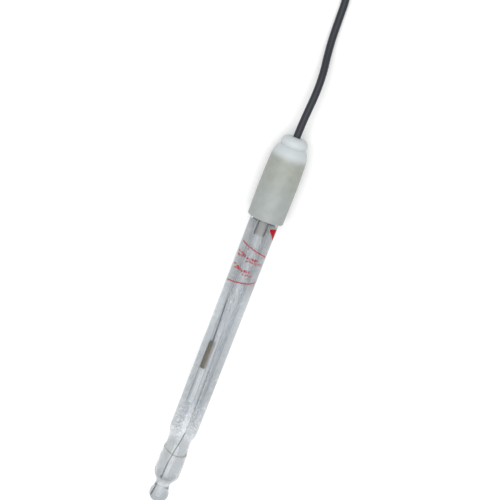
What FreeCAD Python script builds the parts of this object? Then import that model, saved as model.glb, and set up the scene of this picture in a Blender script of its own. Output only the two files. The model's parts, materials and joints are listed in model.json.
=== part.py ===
import FreeCAD, Part
import math
import os
import Sketcher
from FreeCAD import Placement, Rotation, Vector

# Redox electrode with a 12 mm glass shaft, a cap, one metre of cable and a bayonet plug.
# The electrode lies on its cap's rim and on the glass shaft. Its axis runs along Y, with the tip
# towards -Y and the cap towards +Y. Heights along the axis are measured from the tip.

DRIVING_SIZES = [
    # Blown glass body
    ("ball_radius", 4.2, "glass ball at the tip"),
    ("neck_radius", 3.15, "neck above the ball"),
    ("neck_rise", 4.7, "from the ball's middle to the narrowest place of the neck"),
    ("bulb_radius", 5.55, "lower bulb"),
    ("bulb_rise", 6.1, "from the neck to the lower bulb's full width"),
    ("bulb_length", 7.0, "full width of the lower bulb"),
    ("bulb_bottom_curve", 5.0, "curvature under the lower bulb"),
    ("bulb_top_curve", 25.0, "curvature above the lower bulb"),
    ("waist_radius", 4.97, "waist below the shaft"),
    ("waist_rise", 7.5, "from the lower bulb's full width to the waist"),
    ("shoulder_rise", 6.0, "from the waist to the shaft's full width"),
    ("shoulder_curve", 3.0, "curvature where the waist meets the shaft"),
    ("tube_radius", 6.0, "glass shaft"),
    ("tube_wall", 1.0, "wall of the shaft"),
    ("bulb_wall", 0.6, "wall of the lower bulb"),
    ("floor_rise", 1.0, "from the neck to the bottom of the hollow in the bulb"),
    ("hollow_rise", 0.6, "how much higher the hollow's full width starts than the bulb's"),
    ("stem_radius", 2.3, "inner stem"),
    ("stem_wall", 0.7, "wall of the inner stem"),
    ("seal_rise", 0.9, "from the shaft's full width to where the flared stem joins its wall"),
    ("flare_length", 8.8, "flare of the stem"),
    ("stem_length", 100.8, "straight stem above its flare"),
    ("jacket_rise", 4.0, "how far the shaft's glass stands above the stem"),
    ("flare_drop", 1.5, "from the start of the shaft down to the flare's mouth"),
    ("flare_mouth_radius", 4.1, "mouth of the flare, inside"),
    ("clearance", 0.05, "gap between neighbouring pieces"),
    # Sensing wire and lead
    ("platinum_radius", 0.25, "platinum wire"),
    ("platinum_offset", 1.45, "platinum wire's distance from the axis at the bead"),
    ("platinum_end_offset", 2.3, "platinum wire's distance from the axis at the tip"),
    ("platinum_end_rise", 0.45, "end of the platinum wire above the tip"),
    ("bead_rise", 1.45, "welded bead above the hollow's bottom"),
    ("bead_radius", 0.6, "welded bead"),
    ("lead_radius", 0.2, "lead wire"),
    ("sleeve_radius", 1.0, "insulating sleeve on the lead wire"),
    ("sleeve_foot_rise", 54.3, "lower end of the insulating sleeve above the flare"),
    ("sleeve_lead_in", 7.0, "from the lead's last bend up to its sleeve"),
    ("sleeve_top_rise", 1.6, "upper end of the insulating sleeve above the glass"),
    ("stem_plug_depth", 12.0, "plug in the stem, below the stem's top"),
    ("stem_plug_length", 7.5, "plug in the stem"),
    # Reference half-cell
    ("cartridge_radius", 1.3, "cartridge of the reference half-cell"),
    ("cartridge_wall", 0.15, "wall of the cartridge"),
    ("cartridge_rise", 5.5, "from the flare to the cartridge's glass"),
    ("cartridge_length", 27.7, "cartridge's glass"),
    ("cartridge_offset", 3.65, "cartridge's distance from the axis"),
    ("cartridge_angle", 27.0, "cartridge's angle to the left of the top, in degrees"),
    ("wool_length", 15.2, "wool plug inside the cartridge's glass"),
    ("wool_stand", 0.9, "round end of the wool below the cartridge's glass"),
    ("element_depth", 0.4, "top of the silver chloride below the cartridge's rim"),
    ("silver_radius", 0.18, "silver wire"),
    ("silver_angle", 40.0, "silver wire's angle to the left of the top, in degrees"),
    ("silver_bend_rise", 2.0, "start of the silver wire's bend above the cartridge"),
    ("silver_bend_length", 19.0, "height of the silver wire's bend"),
    ("fill_drop", 2.2, "level of the gelled electrolyte below the plug round the stem"),
    ("junction_radius", 0.5, "ceramic junction"),
    ("junction_rise", 1.5, "ceramic junction above the ring seal"),
    ("junction_angle", 22.0, "ceramic junction's angle to the left of the top, in degrees"),
    ("junction_depth", 0.01, "how far the ceramic's ground end lies below the glass"),
    ("junction_reach", 0.25, "how far the ceramic reaches into the chamber"),
    ("chamber_plug_length", 11.4, "plug round the stem"),
    # Cap
    ("cap_cover", 16.5, "how far the cap covers the glass"),
    ("cap_belly", 12.5, "from the cap's rim to its widest place"),
    ("cap_taper", 13.2, "from the cap's widest place to where its two parts meet"),
    ("cap_rim_radius", 7.5, "cap at its rim"),
    ("cap_radius", 7.62, "widest place of the cap"),
    ("cap_split_radius", 7.3, "cap where its two parts meet"),
    ("cap_bore_gap", 0.1, "gap round the glass in the cap"),
    ("seat_depth", 0.2, "depth of the ground seat for the cap's cement"),
    ("relief_depth", 0.2, "depth of the relief in the cap's bore round the cement"),
    ("seat_margin", 0.1, "from the cap's rim to the ground seat"),
    ("relief_margin", 1.5, "from the cap's rim to the relief in its bore"),
    ("seat_end", 1.5, "from the ground seat to the end of the glass"),
    ("rim_fillet", 0.35, "rounding of the cap's rim"),
    ("head_bore", 4.5, "hollow of the head, radius"),
    ("spigot_gap", 2.0, "from the glass to the head's spigot"),
    ("roof_rise", 3.3, "roof of the head's hollow above the joint of the cap's parts"),
    ("head_seam", 0.15, "height of the shadow line between the cap's parts"),
    ("head_seam_depth", 0.1, "depth of the shadow line"),
    ("shoulder_height", 5.2, "height of the head's shoulder"),
    ("shoulder_top_radius", 5.62, "head at the top of its shoulder"),
    ("groove_radius", 5.2, "groove under the collar"),
    ("groove_slope", 0.35, "height of each side of the groove"),
    ("groove_width", 0.65, "groove under the collar"),
    ("collar_radius", 5.5, "collar"),
    ("collar_rise", 1.5, "edge of the collar's rounding above the shoulder"),
    ("top_rise", 4.2, "top of the head above the shoulder"),
    ("cap_top_radius", 2.9, "flat on top of the head"),
    # Inside the cap
    ("joint_radius", 0.55, "soldered joints"),
    ("joint_gap", 0.8, "from the insulating sleeve to the soldered joints"),
    ("joint_length", 2.4, "soldered joints"),
    ("core_length", 2.2, "bare core below the cable's jacket"),
    ("core_radius", 0.5, "cable's core"),
    ("insulation_radius", 0.95, "insulation round the cable's core"),
    ("core_bare", 1.0, "bare core at the centre contact"),
    ("tail_hold", 3.2, "how far the cable's free stretch reaches into the boot"),
    ("screen_radius", 0.4, "cable's twisted screen"),
    ("cable_radius", 1.5, "cable"),
    # Hank of cable
    ("hank_near", 161.7, "centre of the hank's near end, along Y in the row's frame"),
    ("hank_run", 27.0, "distance between the centres of the hank's two ends"),
    ("hank_inner_fold", 9.0, "fold of the hank's inner turns, radius"),
    ("hank_layers", 4.0, "layers of turns"),
    ("waist_inner_half", 6.0, "half the distance between the inner turns at the tie"),
    ("tie_width", 7.0, "width of the tie"),
    ("tie_thickness", 0.4, "thickness of the tie"),
    # Plug
    ("plug_side", -6.2, "plug's place along X"),
    ("plug_gap", 27.0, "from the hank's far centre to the plug's boot"),
    ("boot_tail_radius", 2.6, "boot's thin end"),
    ("boot_radius", 4.3, "boot's thick end"),
    ("boot_grip_depth", 0.5, "depth of the boot's grooves"),
    ("boot_grip_width", 1.1, "width of the boot's grooves"),
    ("boot_grip_pitch", 2.4, "distance between the boot's grooves"),
    ("boot_grip_start", 1.5, "the boot's first groove"),
    ("boot_grips", 5.0, "number of grooves in the boot"),
    ("crimp_start", 9.3, "how far the boot holds the bare cable"),
    ("ferrule_tail_length", 4.7, "crimp ferrule on the cable"),
    ("ferrule_length", 8.3, "crimp ferrule on the plug's tail"),
    ("tail_gap", 0.4, "from the ferrule's step to the tail tube of the plug's body"),
    ("ferrule_tail_radius", 2.3, "crimp ferrule on the cable"),
    ("ferrule_radius", 3.1, "crimp ferrule on the plug's tail"),
    ("ferrule_bore", 2.25, "crimp ferrule's wide bore, radius"),
    ("tail_bore", 1.65, "tail tube's bore, radius"),
    ("flange_radius", 5.6, "rear flange"),
    ("flange_length", 4.3, "rear flange"),
    ("body_neck_radius", 4.4, "neck that the coupling sleeve turns on"),
    ("neck_front", 2.9, "neck in front of the retaining ring"),
    ("shell_radius", 4.05, "contact shell that enters the socket"),
    ("shell_wall", 0.55, "wall of the contact shell"),
    ("shell_length", 10.2, "contact shell in front of the neck"),
    ("insulator_bore", 3.3, "bore for the insulator, radius"),
    ("insulator_depth", 1.4, "rear face of the insulator behind the coupling sleeve's flange"),
    ("insulator_length", 9.4, "insulator"),
    ("pin_radius", 0.68, "centre contact"),
    ("pin_tail_radius", 0.95, "crimped tail of the centre contact"),
    ("pin_tail_length", 3.0, "crimped tail of the centre contact"),
    ("pin_depth", 1.8, "end of the centre contact inside the shell"),
    ("sleeve_outer", 7.25, "coupling sleeve"),
    ("sleeve_bore", 4.95, "coupling sleeve's front bore, radius"),
    ("sleeve_overlap", 1.8, "how far the coupling sleeve covers the rear flange"),
    ("sleeve_flange_length", 2.35, "inner flange of the coupling sleeve"),
    ("sleeve_overhang", 1.4, "how far the coupling sleeve stands out past the contact shell"),
    ("grip_length", 13.6, "grip of the coupling sleeve"),
    ("sleeve_counterbore", 5.9, "counterbore round the rear flange, radius"),
    ("sleeve_waist_radius", 6.6, "smooth front part of the coupling sleeve"),
    ("grip_flute_radius", 0.6, "flutes of the grip"),
    ("grip_flutes", 20.0, "number of flutes"),
    ("cam_width", 2.2, "width of the cam slots"),
    ("cam_rise", 3.4, "how far a cam slot pulls the plug in"),
    ("cam_turn", 80.0, "how far a cam slot turns, in degrees"),
    ("cam_entry", 2.6, "straight entry of a cam slot"),
    ("running_gap", 0.05, "gap between the neck and the sleeve's flange"),
    ("thrust_thickness", 0.4, "thrust washer"),
    ("take_up", 0.8, "axial travel of the coupling sleeve"),
    ("spring_thickness", 0.25, "wave spring"),
    ("spring_waves", 3.0, "number of waves"),
    ("ring_thickness", 0.6, "retaining ring"),
    ("ring_depth", 0.35, "how deep the retaining ring sits in its groove"),
    ("gasket_radius", 0.4, "section of the gasket"),
]

# Heights that follow from the sizes above
HEIGHTS = [
    ("neck_height", "ball_radius + neck_rise"),
    ("bulb_low", "neck_height + bulb_rise"),
    ("bulb_high", "bulb_low + bulb_length"),
    ("waist_height", "bulb_high + waist_rise"),
    ("tube_start", "waist_height + shoulder_rise"),
    ("bulb_floor", "neck_height + floor_rise"),
    ("bead_height", "bulb_floor + bead_rise"),
    ("seal_foot", "tube_start + seal_rise"),
    ("seal_top", "seal_foot + flare_length"),
    ("stem_top", "seal_top + stem_length"),
    ("jacket_top", "stem_top + jacket_rise"),
    ("sleeve_low", "seal_top + sleeve_foot_rise"),
    ("sleeve_top", "jacket_top + sleeve_top_rise"),
    ("stem_plug_top", "stem_top - stem_plug_depth"),
    ("stem_plug_low", "stem_plug_top - stem_plug_length"),
    ("cartridge_low", "seal_top + cartridge_rise"),
    ("cartridge_top", "cartridge_low + cartridge_length"),
    ("element_low", "cartridge_low + wool_length"),
    ("element_top", "cartridge_top - element_depth"),
    ("wool_low", "cartridge_low - wool_stand"),
    ("silver_bend_low", "cartridge_top + silver_bend_rise"),
    ("silver_bend_high", "silver_bend_low + silver_bend_length"),
    ("junction_height", "seal_foot + junction_rise"),
    ("chamber_plug_low", "stem_top - chamber_plug_length"),
    ("fill_top", "chamber_plug_low - fill_drop"),
    ("cap_low", "jacket_top - cap_cover"),
    ("cap_middle", "cap_low + cap_belly"),
    ("cap_split", "cap_middle + cap_taper"),
    ("seat_low", "cap_low + seat_margin"),
    ("relief_low", "cap_low + relief_margin"),
    ("seat_high", "jacket_top - seat_end"),
    ("head_spigot_low", "jacket_top + spigot_gap"),
    ("head_roof", "cap_split + roof_rise"),
    ("shoulder_top", "cap_split + shoulder_height"),
    ("collar_edge", "shoulder_top + collar_rise"),
    ("cap_top", "shoulder_top + top_rise"),
    ("joint_low", "sleeve_top + joint_gap"),
    ("joint_high", "joint_low + joint_length"),
    ("cable_start", "joint_high + core_length"),
    ("crimp_step", "crimp_start + ferrule_tail_length"),
    ("tail_start", "crimp_step + tail_gap"),
    ("flange_start", "crimp_step + ferrule_length"),
    ("boot_length", "flange_start - clearance * 6"),
    ("flange_end", "flange_start + flange_length"),
    ("sleeve_rear", "flange_end - sleeve_overlap"),
    ("sleeve_flange_start", "flange_end + clearance"),
    ("sleeve_flange_end", "sleeve_flange_start + sleeve_flange_length"),
    ("washer_low", "sleeve_flange_end + running_gap"),
    ("spring_low", "washer_low + thrust_thickness + clearance"),
    ("ring_low", "spring_low + take_up + spring_thickness + clearance * 3"),
    ("ring_high", "ring_low + ring_thickness"),
    ("body_neck_end", "ring_high + neck_front"),
    ("shell_end", "body_neck_end + shell_length"),
    ("insulator_start", "sleeve_flange_end - insulator_depth"),
    ("insulator_end", "insulator_start + insulator_length"),
    ("pin_start", "insulator_start - pin_tail_length"),
    ("pin_end", "shell_end - pin_depth"),
    ("sleeve_front", "shell_end + sleeve_overhang"),
    ("grip_end", "sleeve_rear + grip_length"),
]

AXIS = Vector(0, 1, 0)
UP = Vector(0, 0, 1)
ORIGIN = Vector(0, 0, 0)


class Size:
    """A number with the formula that gives it from the sheet."""

    def __init__(self, value, formula):
        self.value = value
        self.formula = formula

    def joined(self, other, sign, value):
        formula = other.formula if isinstance(other, Size) else repr(float(other))
        return Size(value, "(" + self.formula + " " + sign + " " + formula + ")")

    def __add__(self, other):
        return self.joined(other, "+", self.value + number(other))

    def __sub__(self, other):
        return self.joined(other, "-", self.value - number(other))

    def __mul__(self, other):
        return self.joined(other, "*", self.value * number(other))

    def __truediv__(self, other):
        return self.joined(other, "/", self.value / number(other))


def number(size):
    return size.value if isinstance(size, Size) else float(size)


document = FreeCAD.newDocument("redox_electrode")
sheet = document.addObject("Spreadsheet::Sheet", "sizes")
for row, (alias, value, meaning) in enumerate(DRIVING_SIZES, start=1):
    sheet.set("A" + str(row), meaning)
    sheet.set("B" + str(row), str(value))
    sheet.setAlias("B" + str(row), alias)
for row, (alias, formula) in enumerate(HEIGHTS, start=len(DRIVING_SIZES) + 1):
    sheet.set("B" + str(row), "=" + formula)
    sheet.setAlias("B" + str(row), alias)
document.recompute()


def size(alias):
    return Size(float(getattr(sheet, alias)), "sizes." + alias)


ZERO = Size(0.0, "0")
parts = []


def keep(piece, label):
    """Names a finished piece after its node."""
    piece.Label = label
    parts.append(piece)
    return piece


# Outlines and turned pieces


def arc_middle(start, end, radius, turn):
    """The middle of an arc from start to end that turns left for 1 and right for -1."""
    chord = end - start
    left = Vector(-chord.y, chord.x, 0).normalize()
    reach = math.sqrt(max(radius**2 - chord.Length**2 / 4, 0))
    centre = (start + end) / 2 + left * reach * turn
    return centre, centre - left * radius * turn


def add_edge(sketch, corner, following):
    """Adds the edge after a corner. Returns its number and which of its ends is the corner."""
    start = Vector(number(corner[0]), number(corner[1]), 0)
    end = Vector(number(following[0]), number(following[1]), 0)
    if len(corner) == 2:
        return sketch.addGeometry(Part.LineSegment(start, end), False), 1, 2
    radius, turn = corner[2], corner[3]
    middle = arc_middle(start, end, number(radius), turn)[1]
    edge = sketch.addGeometry(Part.Arc(start, middle, end), False)
    bound = sketch.addConstraint(Sketcher.Constraint("Radius", edge, number(radius)))
    sketch.setExpression("Constraints[" + str(bound) + "]", radius.formula)
    return (edge, 1, 2) if turn > 0 else (edge, 2, 1)


def tie_corner(sketch, edge, end, corner):
    """Binds a corner's distance from the axis and its height to the sheet."""
    for direction, origin_line, distance in (
        ("DistanceX", -2, corner[0]),
        ("DistanceY", -1, corner[1]),
    ):
        if number(distance) == 0:
            sketch.addConstraint(Sketcher.Constraint("PointOnObject", edge, end, origin_line))
            continue
        bound = sketch.addConstraint(
            Sketcher.Constraint(direction, -1, 1, edge, end, number(distance))
        )
        sketch.setExpression("Constraints[" + str(bound) + "]", distance.formula)


def outline_sketch(body, name, plane_role, corners):
    """A closed outline on one of the body's own planes."""
    sketch = body.newObject("Sketcher::SketchObject", name)
    plane = [p for p in body.Origin.OriginFeatures if p.Role == plane_role][0]
    sketch.AttachmentSupport = [(plane, "")]
    sketch.MapMode = "FlatFace"
    edges = []
    for place, corner in enumerate(corners):
        following = corners[(place + 1) % len(corners)]
        edges.append(add_edge(sketch, corner, following))
    for place, corner in enumerate(corners):
        edge, first, last = edges[place]
        before, _, before_last = edges[place - 1]
        sketch.addConstraint(Sketcher.Constraint("Coincident", before, before_last, edge, first))
        tie_corner(sketch, edge, first, corner)
    return sketch


def turned(name, corners, placement):
    """A body turned about its Y axis. Corners give the distance from the axis and the height."""
    body = document.addObject("PartDesign::Body", name)
    sketch = outline_sketch(body, name + "_outline", "XY_Plane", corners)
    turning = body.newObject("PartDesign::Revolution", name + "_turning")
    turning.Profile = sketch
    turning.ReferenceAxis = (sketch, ["V_Axis"])
    turning.Angle = 360.0
    body.Placement = placement
    return body


def rod(name, radius, length, placement):
    """A cylinder whose axis is the placement's Z axis."""
    piece = document.addObject("Part::Cylinder", name)
    piece.Radius = number(radius)
    piece.Height = number(length)
    piece.setExpression("Radius", radius.formula)
    piece.setExpression("Height", length.formula)
    piece.Placement = placement
    return piece


def cut(name, base, tools):
    """Takes the tools away from a piece."""
    tool = tools[0]
    if len(tools) > 1:
        tool = document.addObject("Part::MultiFuse", name + "_tools")
        tool.Shapes = tools
    piece = document.addObject("Part::Cut", name)
    piece.Base = base
    piece.Tool = tool
    return piece


def shaped(name, shape, placement):
    """A piece whose shape is made by the functions below."""
    piece = document.addObject("Part::Feature", name)
    piece.Shape = shape
    piece.Placement = placement
    return piece


def neck_curve(neck_radius, neck_height, centre_radius, centre_height, curve):
    """The concave curve that leaves a neck upright and meets a round stretch smoothly.

    Returns its radius and the distance from the axis and the height of the place where they meet.
    """
    across = neck_radius - centre_radius
    along = neck_height - centre_height
    radius = (across * across + along * along - curve * curve) / ((curve - across) * 2)
    share = curve / (curve + radius)
    meeting = centre_radius + (across + radius) * share
    return radius, meeting, centre_height + along * share


def upright_curve(across, along):
    """Radius of an arc that is upright at one end and ends so far across and along."""
    return (across * across + along * along) / (across * 2)


# Straight runs joined by arcs


def route_wire(points, share=0.45):
    """A smooth path through a list of points, its length and the radii of its arcs."""
    edges, radii = [], []
    start = points[0]
    for before, corner, after in zip(points, points[1:], points[2:]):
        back = (before - corner).normalize()
        ahead = (after - corner).normalize()
        half_turn = (math.pi - back.getAngle(ahead)) / 2
        reach = share * min((before - corner).Length, (after - corner).Length)
        radius = reach / math.tan(half_turn)
        to_centre = (back + ahead).normalize() * (radius / math.cos(half_turn))
        middle = corner + to_centre - to_centre.normalize() * radius
        first, last = corner + back * reach, corner + ahead * reach
        edges.append(Part.LineSegment(start, first).toShape())
        edges.append(Part.Arc(first, middle, last).toShape())
        radii.append(radius)
        start = last
    edges.append(Part.LineSegment(start, points[-1]).toShape())
    wire = Part.Wire(edges)
    return wire, wire.Length, radii


def tube_along(points, radius):
    """A round bar along a route, with the radii of its arcs."""
    wire, length, radii = route_wire(points)
    circle = Part.Wire([Part.Circle(points[0], points[1] - points[0], radius).toShape()])
    shape = wire.makePipeShell([circle], True, True)
    expected = math.pi * radius**2 * length
    if abs(shape.Volume - expected) > 0.01 * expected:
        raise RuntimeError("a tube's volume differs from its section times its length")
    return shape, length, radii


# Where the electrode lies



def cap_slope():
    """Slope of the line that touches the shaft's lower end and the barrel of the cap."""
    low, middle = number(size("cap_low")) + number(size("rim_fillet")), number(size("cap_middle"))
    tube, start = number(size("tube_radius")), number(size("tube_start"))
    bulge = number(size("cap_radius")) - number(size("cap_rim_radius"))
    slopes = []
    for step in range(201):
        height = low + (middle - low) * step / 200
        away = (middle - height) / (middle - number(size("cap_low")))
        radius = number(size("cap_radius")) - bulge * away * away
        slopes.append((radius - tube) / (height - start))
    return max(slopes)


rest_angle = math.atan(cap_slope())
rest_height = number(size("tube_radius")) * math.cos(rest_angle) - number(
    size("tube_start")
) * math.sin(rest_angle)
rest_start = -number(size("cap_top")) * math.cos(rest_angle) / 2
REST = Placement(
    Vector(0, rest_start, rest_height), Rotation(Vector(1, 0, 0), math.degrees(rest_angle))
)


def lying(point, direction=AXIS):
    """A placement in the lying electrode whose Z axis follows a direction of the upright one."""
    return REST.multiply(Placement(point, Rotation(UP, direction)))


def beside(offset, angle, height):
    """A point beside the axis, at an angle to the left of the top."""
    turn = math.radians(number(angle))
    reach = number(offset)
    return Vector(-reach * math.sin(turn), number(height), reach * math.cos(turn))


# Glass


def blown_glass():
    """Ball, neck, lower bulb, shaft, flared ring seal and stem, blown as one piece."""
    ball, neck, neck_at = size("ball_radius"), size("neck_radius"), size("neck_height")
    under, ball_meet, ball_meet_at = neck_curve(neck, neck_at, ZERO, ball, ball)
    bulb, bulb_low, bulb_high = size("bulb_radius"), size("bulb_low"), size("bulb_high")
    low_curve, high_curve = size("bulb_bottom_curve"), size("bulb_top_curve")
    over, low_meet, low_meet_at = neck_curve(neck, neck_at, bulb - low_curve, bulb_low, low_curve)
    waist, waist_at = size("waist_radius"), size("waist_height")
    tube, tube_at, shoulder = size("tube_radius"), size("tube_start"), size("shoulder_curve")
    below, high_meet, high_meet_at = neck_curve(
        waist, waist_at, bulb - high_curve, bulb_high, high_curve
    )
    above, tube_meet, tube_meet_at = neck_curve(
        waist, waist_at, tube - shoulder, tube_at, shoulder
    )
    chamber, seat = tube - size("tube_wall"), tube - size("seat_depth")
    stem, stem_bore = size("stem_radius"), size("stem_radius") - size("stem_wall")
    foot, seal_top, mouth = size("seal_foot"), size("seal_top"), size("flare_mouth_radius")
    hollow, floor = bulb - size("bulb_wall"), size("bulb_floor")
    floor_side = bulb_low + size("hollow_rise")
    waist_hollow, mouth_at = waist - size("bulb_wall"), tube_at - size("flare_drop")
    flare = upright_curve(mouth - stem_bore, seal_top - mouth_at)
    return [
        (ZERO, ZERO, ball, 1),
        (ball_meet, ball_meet_at, under, -1),
        (neck, neck_at, over, -1),
        (low_meet, low_meet_at, low_curve, 1),
        (bulb, bulb_low),
        (bulb, bulb_high, high_curve, 1),
        (high_meet, high_meet_at, below, -1),
        (waist, waist_at, above, -1),
        (tube_meet, tube_meet_at, shoulder, 1),
        (tube, tube_at),
        (tube, size("seat_low")),
        (seat, size("seat_low") + size("seat_depth")),
        (seat, size("seat_high") - size("seat_depth")),
        (tube, size("seat_high")),
        (tube, size("jacket_top")),
        (chamber, size("jacket_top")),
        (chamber, foot, upright_curve(chamber - stem, seal_top - foot), -1),
        (stem, seal_top),
        (stem, size("stem_top")),
        (stem_bore, size("stem_top")),
        (stem_bore, seal_top, flare, 1),
        (mouth, mouth_at),
        (waist_hollow, waist_at),
        (hollow, bulb_high),
        (hollow, floor_side, upright_curve(hollow, floor_side - floor), -1),
        (ZERO, floor),
    ]


def platinum_ends():
    """The platinum wire's two ends, in the upright electrode."""
    upper = Vector(-number(size("platinum_offset")), number(size("bead_height")), 0)
    lower = Vector(
        -number(size("platinum_end_offset")), number(size("platinum_end_rise")), 0
    )
    return lower, upper


def make_glass():
    glass = turned("blown_glass", blown_glass(), REST)
    lower, upper = platinum_ends()
    reach = (upper - lower).Length
    bore = document.addObject("Part::Cylinder", "platinum_bore")
    bore.Radius = number(size("platinum_radius"))
    bore.setExpression("Radius", size("platinum_radius").formula)
    bore.Height = 2 * reach
    bore.Placement = lying(lower - (upper - lower) * 0.5, upper - lower)
    direction = beside(1, size("junction_angle"), 0)
    hole = rod(
        "junction_hole",
        size("junction_radius"),
        size("tube_wall") * 3,
        lying(
            beside(size("tube_radius") - size("tube_wall") * 2, size("junction_angle"),
                   size("junction_height")),
            direction,
        ),
    )
    keep(cut("glass_body", glass, [bore, hole]), "glass_body")
    junction_length = size("tube_wall") + size("junction_reach")
    start = size("tube_radius") - size("junction_depth") - junction_length
    keep(
        rod(
            "ceramic_junction",
            size("junction_radius"),
            junction_length,
            lying(beside(start, size("junction_angle"), size("junction_height")), direction),
        ),
        "ceramic_junction",
    )


# Sensing wire and lead


def make_sensing_wire():
    lower, upper = platinum_ends()
    radius = number(size("platinum_radius"))
    wire = Part.makeCylinder(radius, (upper - lower).Length, lower, upper - lower)
    tip = Part.makeSphere(radius, lower)
    bead = number(size("bead_radius"))
    upper_bead = Part.makeSphere(bead, upper)
    keep(
        shaped("platinum_wire", wire.fuse(tip).cut(upper_bead).removeSplitter(), REST),
        "platinum_wire",
    )
    lead, lead_route = make_lead_wire(upper)
    keep(shaped("lead_wire", lead.cut(upper_bead), REST), "lead_wire")
    joint = document.addObject("Part::Sphere", "wire_joint")
    joint.Radius = bead
    joint.setExpression("Radius", size("bead_radius").formula)
    joint.Placement = lying(upper)
    keep(joint, "wire_joint")
    return lead_route


def make_lead_wire(bead_middle):
    """The thin lead wanders through the bulb and the stem, and is straight in its sleeve."""
    radius = number(size("lead_radius"))
    stem_limit = number(size("stem_radius")) - number(size("stem_wall")) - radius
    stem_limit -= number(size("clearance"))
    last_bend = number(size("sleeve_low")) - number(size("sleeve_lead_in"))
    seal_top = number(size("seal_top"))
    waist_height = number(size("waist_height"))
    route = [
        bead_middle,
        Vector(-1.25, number(size("bulb_low")) + 1.5, 0.1),
        Vector(-0.65, number(size("bulb_high")) + 0.5, 0.2),
        Vector(0.65, waist_height + 0.8, 0.1),
        Vector(min(1.3, stem_limit), (waist_height + seal_top) / 2 + 1, 0),
        Vector(min(1.3, stem_limit), seal_top + 2.5, 0),
        Vector(0.9, seal_top + (last_bend - seal_top) * 0.4, 0.1),
        Vector(0.65, seal_top + (last_bend - seal_top) * 0.72, 0),
        Vector(0, last_bend, 0),
        Vector(0, number(size("joint_low")), 0),
    ]
    shape, length, _ = tube_along(route, radius)
    return shape, route


def make_lead_sleeve():
    outer, bore = size("sleeve_radius"), size("lead_radius") + size("clearance")
    low, top = size("sleeve_low"), size("sleeve_top")
    keep(
        turned("lead_sleeve", [(bore, low), (outer, low), (outer, top), (bore, top)], REST),
        "lead_sleeve",
    )
    bore = outer + size("clearance")
    wide = size("stem_radius") - size("stem_wall") - size("clearance")
    low, top = size("stem_plug_low"), size("stem_plug_top")
    keep(
        turned("stem_plug", [(bore, low), (wide, low), (wide, top), (bore, top)], REST),
        "stem_plug",
    )


# Reference half-cell


def silver_route():
    """Up from the silver chloride, out to the wire's own place, and up into the cap."""
    offset = size("cartridge_offset")
    return [
        beside(offset, size("cartridge_angle"), size("element_top") - 6),
        beside(offset, size("cartridge_angle"), size("silver_bend_low")),
        beside(offset, size("silver_angle"), size("silver_bend_high")),
        beside(offset, size("silver_angle"), size("joint_low")),
    ]


def make_half_cell():
    offset, angle = size("cartridge_offset"), size("cartridge_angle")
    place = REST.multiply(Placement(beside(offset, angle, 0), Rotation()))
    radius, wall = size("cartridge_radius"), size("cartridge_wall")
    low, top, bore = size("cartridge_low"), size("cartridge_top"), radius - wall
    keep(
        turned(
            "cartridge_tube",
            [(bore, low), (radius, low), (radius, top), (bore, top)],
            place,
        ),
        "cartridge_tube",
    )
    fit = bore - size("clearance") / 2
    silver, _, _ = tube_along(silver_route(), number(size("silver_radius")))
    silver_piece = shaped("silver_wire", silver, REST)
    element = turned(
        "element_blank",
        [
            (ZERO, size("element_low")),
            (fit, size("element_low")),
            (fit, size("element_top")),
            (ZERO, size("element_top")),
        ],
        place,
    )
    keep(cut("silver_chloride", element, [silver_piece]), "silver_chloride")
    keep(silver_piece, "silver_wire")
    wool_low, wool_top = size("wool_low"), size("element_low") - size("clearance")
    keep(
        turned(
            "wool_plug",
            [(ZERO, wool_low, fit, 1), (fit, wool_low + fit), (fit, wool_top), (ZERO, wool_top)],
            place,
        ),
        "wool_plug",
    )
    return place


def make_gel(cartridge_place):
    """The gelled electrolyte round the stem, the cartridge and the silver wire."""
    gap = size("clearance")
    inner, outer = size("stem_radius") + gap, size("tube_radius") - size("tube_wall") - gap
    foot, seal_top, top = size("seal_foot") + gap * 4, size("seal_top"), size("fill_top")
    blank = turned(
        "gel_blank",
        [
            (inner, seal_top),
            (inner, top),
            (outer, top),
            (outer, foot, upright_curve(outer - inner, seal_top - foot), -1),
        ],
        REST,
    )
    room = size("cartridge_radius") + gap
    low, high = size("wool_low") - gap, size("cartridge_top") + gap
    pocket = turned(
        "cartridge_pocket",
        [(ZERO, low), (room, low), (room, high), (ZERO, high)],
        cartridge_place,
    )
    channel, _, _ = tube_along(silver_route(), number(size("silver_radius") + gap))
    wire_pocket = shaped("silver_channel", channel, REST)
    direction = beside(1, size("junction_angle"), 0)
    ceramic_pocket = rod(
        "ceramic_pocket",
        size("junction_radius") + gap,
        size("tube_wall"),
        lying(
            beside(size("tube_radius") - size("tube_wall") * 1.5, size("junction_angle"),
                   size("junction_height")),
            direction,
        ),
    )
    keep(cut("gel_filling", blank, [pocket, wire_pocket, ceramic_pocket]), "gel_filling")


def make_chamber_plug():
    gap = size("clearance")
    inner, outer = size("stem_radius") + gap, size("tube_radius") - size("tube_wall") - gap
    low, top = size("chamber_plug_low"), size("stem_top")
    blank = turned(
        "chamber_plug_blank",
        [(inner, low), (outer, low), (outer, top), (inner, top)],
        REST,
    )
    channel, _, _ = tube_along(silver_route(), number(size("silver_radius") + gap))
    keep(
        cut("chamber_plug", blank, [shaped("chamber_plug_channel", channel, REST)]),
        "chamber_plug",
    )


# Cap


def edges_near(shape, radius, height, slack=0.02):
    """Names of the round edges of a turned body with a radius at a height."""
    names = []
    for place, edge in enumerate(shape.Edges, start=1):
        curve = edge.Curve
        if not isinstance(curve, Part.Circle) or abs(abs(curve.Axis.y) - 1) > 0.001:
            continue
        if abs(curve.Radius - radius) < slack and abs(curve.Center.y - height) < slack:
            names.append("Edge" + str(place))
    return names


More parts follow.
